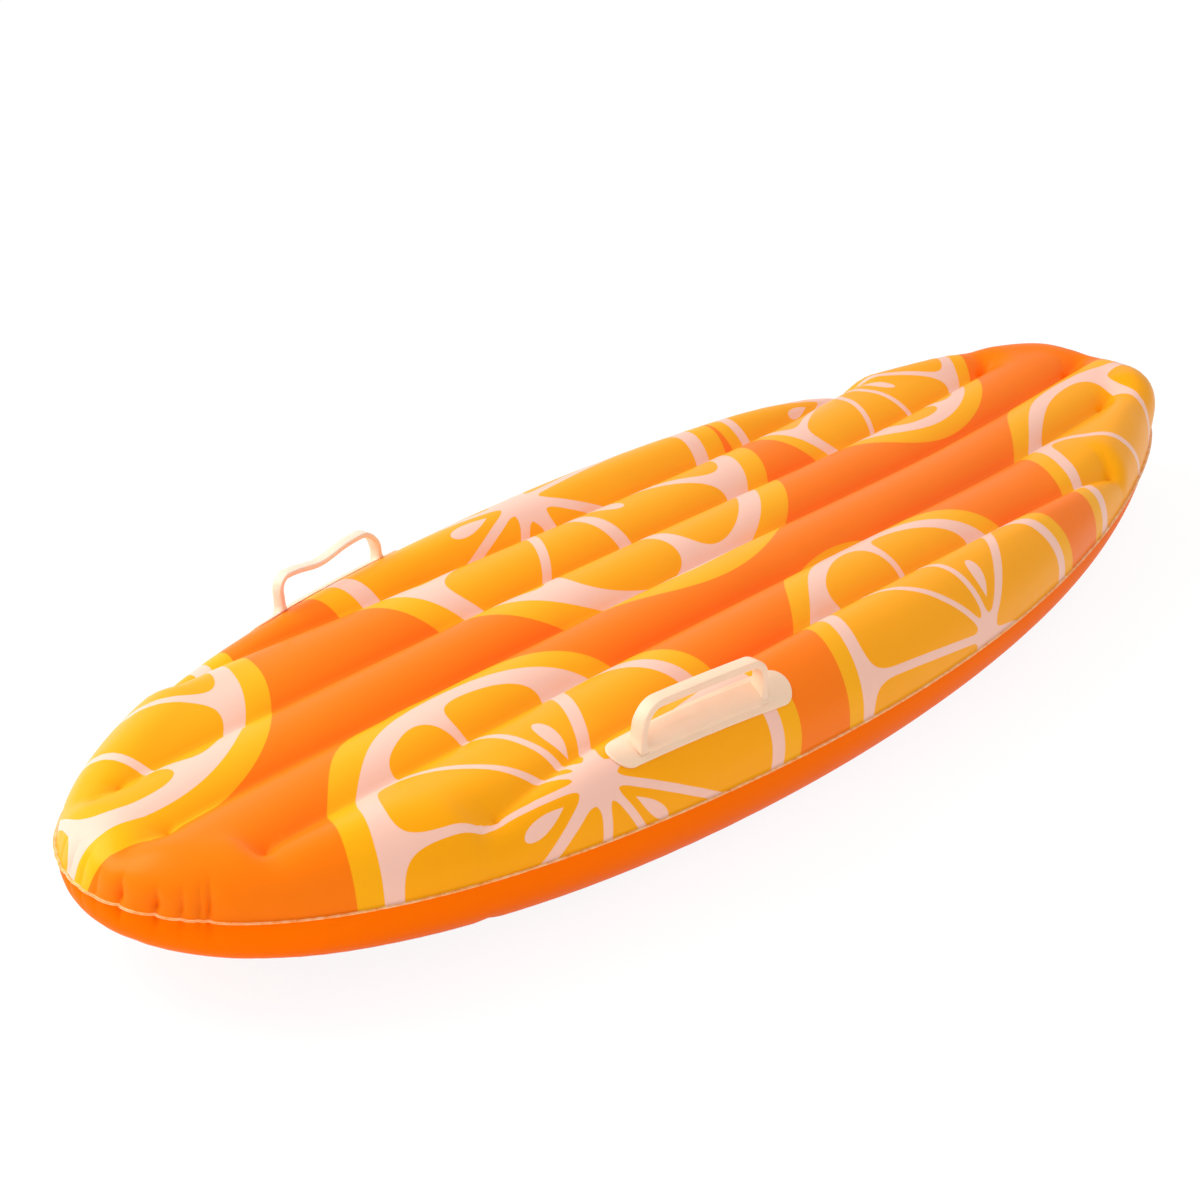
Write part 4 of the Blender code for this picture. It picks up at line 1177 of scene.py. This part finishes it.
strap = np.concatenate([
    [(strap_root, STRAP_MIDDLE - strap_half)],
    np.stack([STRAP_REACH + strap_half * np.cos(bend), STRAP_MIDDLE + strap_half * np.sin(bend)], axis=1),
    [(strap_root, STRAP_MIDDLE + strap_half)],
])
near, far = STEM_END - CLEARANCE, STEM_END - CLEARANCE - FLAP_THICKNESS
flap = rounded(((AXIS_GAP, far), (FLAP_RADIUS, far), (FLAP_RADIUS, near), (AXIS_GAP, near)), FLAP_ROUNDING,
               closed=False)
flap_tab = ((FLAP_RADIUS / 2, near), (FLAP_RADIUS / 2, far), (FLAP_REACH, far), (FLAP_REACH, near))
for name, shape, rides_on, node in (
    ("valve_base", turned(body, True), "root", "valve_body"),
    ("valve_mouth", joined(turned(stem, True), strip(tab, TAB_WIDTH)), "stem", "valve_stem"),
    ("valve_stopper", joined(turned(plug, False), strip(strap, STRAP_WIDTH)), "plug", "valve_plug"),
    ("valve_leaf", joined(turned(flap, False), strip(flap_tab, FLAP_TAB_WIDTH)), "flap", "check_flap"),
):
    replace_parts(add_piece(name, *shape, WHITE_VINYL, rides_on, "valve_vinyl"), node)


# Plain floor and backdrop
# A pale sweep of seamless paper. What the camera and mirror rays see of it is part its own glow, so that it
# comes out white and still keeps the board's shadow.
PAPER_GLOW = 0.86
PAPER_WHITE = 1.05
PAPER_REACH = 30
floor_mesh = bpy.data.meshes.new("floor")
corners = [(x * PAPER_REACH, y * PAPER_REACH, 0) for x, y in ((-1, -1), (1, -1), (1, 1), (-1, 1))]
floor_mesh.from_pydata(corners, [], [(0, 1, 2, 3)])
floor = new_object("floor", floor_mesh)
paper, tree, shader = new_material("paper")
connect(tree, shader, Base_Color=colour(250, 249, 248), Roughness=0.9, Specular_IOR_Level=0.1)
glow = add_node(tree, "ShaderNodeEmission", ((1, 1, 1, 1), PAPER_WHITE))
rays = add_node(tree, "ShaderNodeLightPath").outputs
seen = calculate(tree, "MAXIMUM", rays["Is Camera Ray"],
                 calculate(tree, "MAXIMUM", rays["Is Glossy Ray"], rays["Is Transmission Ray"]))
share = calculate(tree, "MULTIPLY", seen, PAPER_GLOW)
blend = add_node(tree, "ShaderNodeMixShader", (share, shader.outputs[0], glow.outputs[0]))
connect(tree, tree.nodes["Material Output"], Surface=blend.outputs[0])
floor_mesh.materials.append(paper)


# Soft studio light
# A white room, a little brighter overhead, one large soft panel behind the board and to its left, and a weak
# low one in front of it.
ROOM_LIGHT = 0.61
OVERHEAD_LIGHT = 0.18


def stand(name, data, place, right, up):
    """A lamp or a camera at a place, with its right and up directions; it looks away from their cross."""
    matrix = np.eye(4)
    matrix[:3, :3] = np.stack([right, up, np.cross(right, up)], axis=1)
    matrix[:3, 3] = place
    thing = new_object(name, data)
    thing.matrix_world = matrix.T.tolist()
    return thing


world = bpy.data.worlds.new("studio")
bpy.context.scene.world = world
world.use_nodes = True
tree = world.node_tree
way = add_node(tree, "ShaderNodeTexCoord").outputs["Generated"]
upward = add_node(tree, "ShaderNodeSeparateXYZ", (way,)).outputs["Z"]
bright = calculate(tree, "MULTIPLY_ADD", upward, OVERHEAD_LIGHT, ROOM_LIGHT)
rays = add_node(tree, "ShaderNodeLightPath").outputs
strength = calculate(tree, "MAXIMUM", bright, rays["Is Camera Ray"])
connect(tree, tree.nodes["Background"], Color=(1, 1, 1, 1), Strength=strength)
for name, energy, size, tint, place in (
    ("panel_back", 80, 2.2, (1.0, 0.97, 0.92), (-1.5, 1.8, 2.0)),
    ("panel_front", 6, 2.0, (1.0, 0.98, 0.95), (-1.0, -2.4, 0.8)),
):
    panel = bpy.data.lights.new(name, "AREA")
    panel.energy = energy
    panel.size = size
    panel.color = tint
    back = unit(np.array(place))
    side = unit(np.cross([0, 0, 1], back))
    stand(name, panel, place, side, np.cross(back, side))


# Camera
# Placed and turned as the photograph was taken, with a long lens.
CAMERA_PLACE = (-2.39285, -1.47588, 1.32382)
CAMERA_RIGHT = (0.58067, -0.81105, 0.07090)
CAMERA_UP = (0.29237, 0.28901, 0.91159)
LENS = 90.65
camera_data = bpy.data.cameras.new("camera")
camera_data.sensor_width = 36
camera_data.lens = LENS
camera_data.clip_end = 100
bpy.context.scene.camera = stand("camera", camera_data, CAMERA_PLACE, CAMERA_RIGHT, CAMERA_UP)
bpy.context.scene.view_settings.view_transform = "Standard"
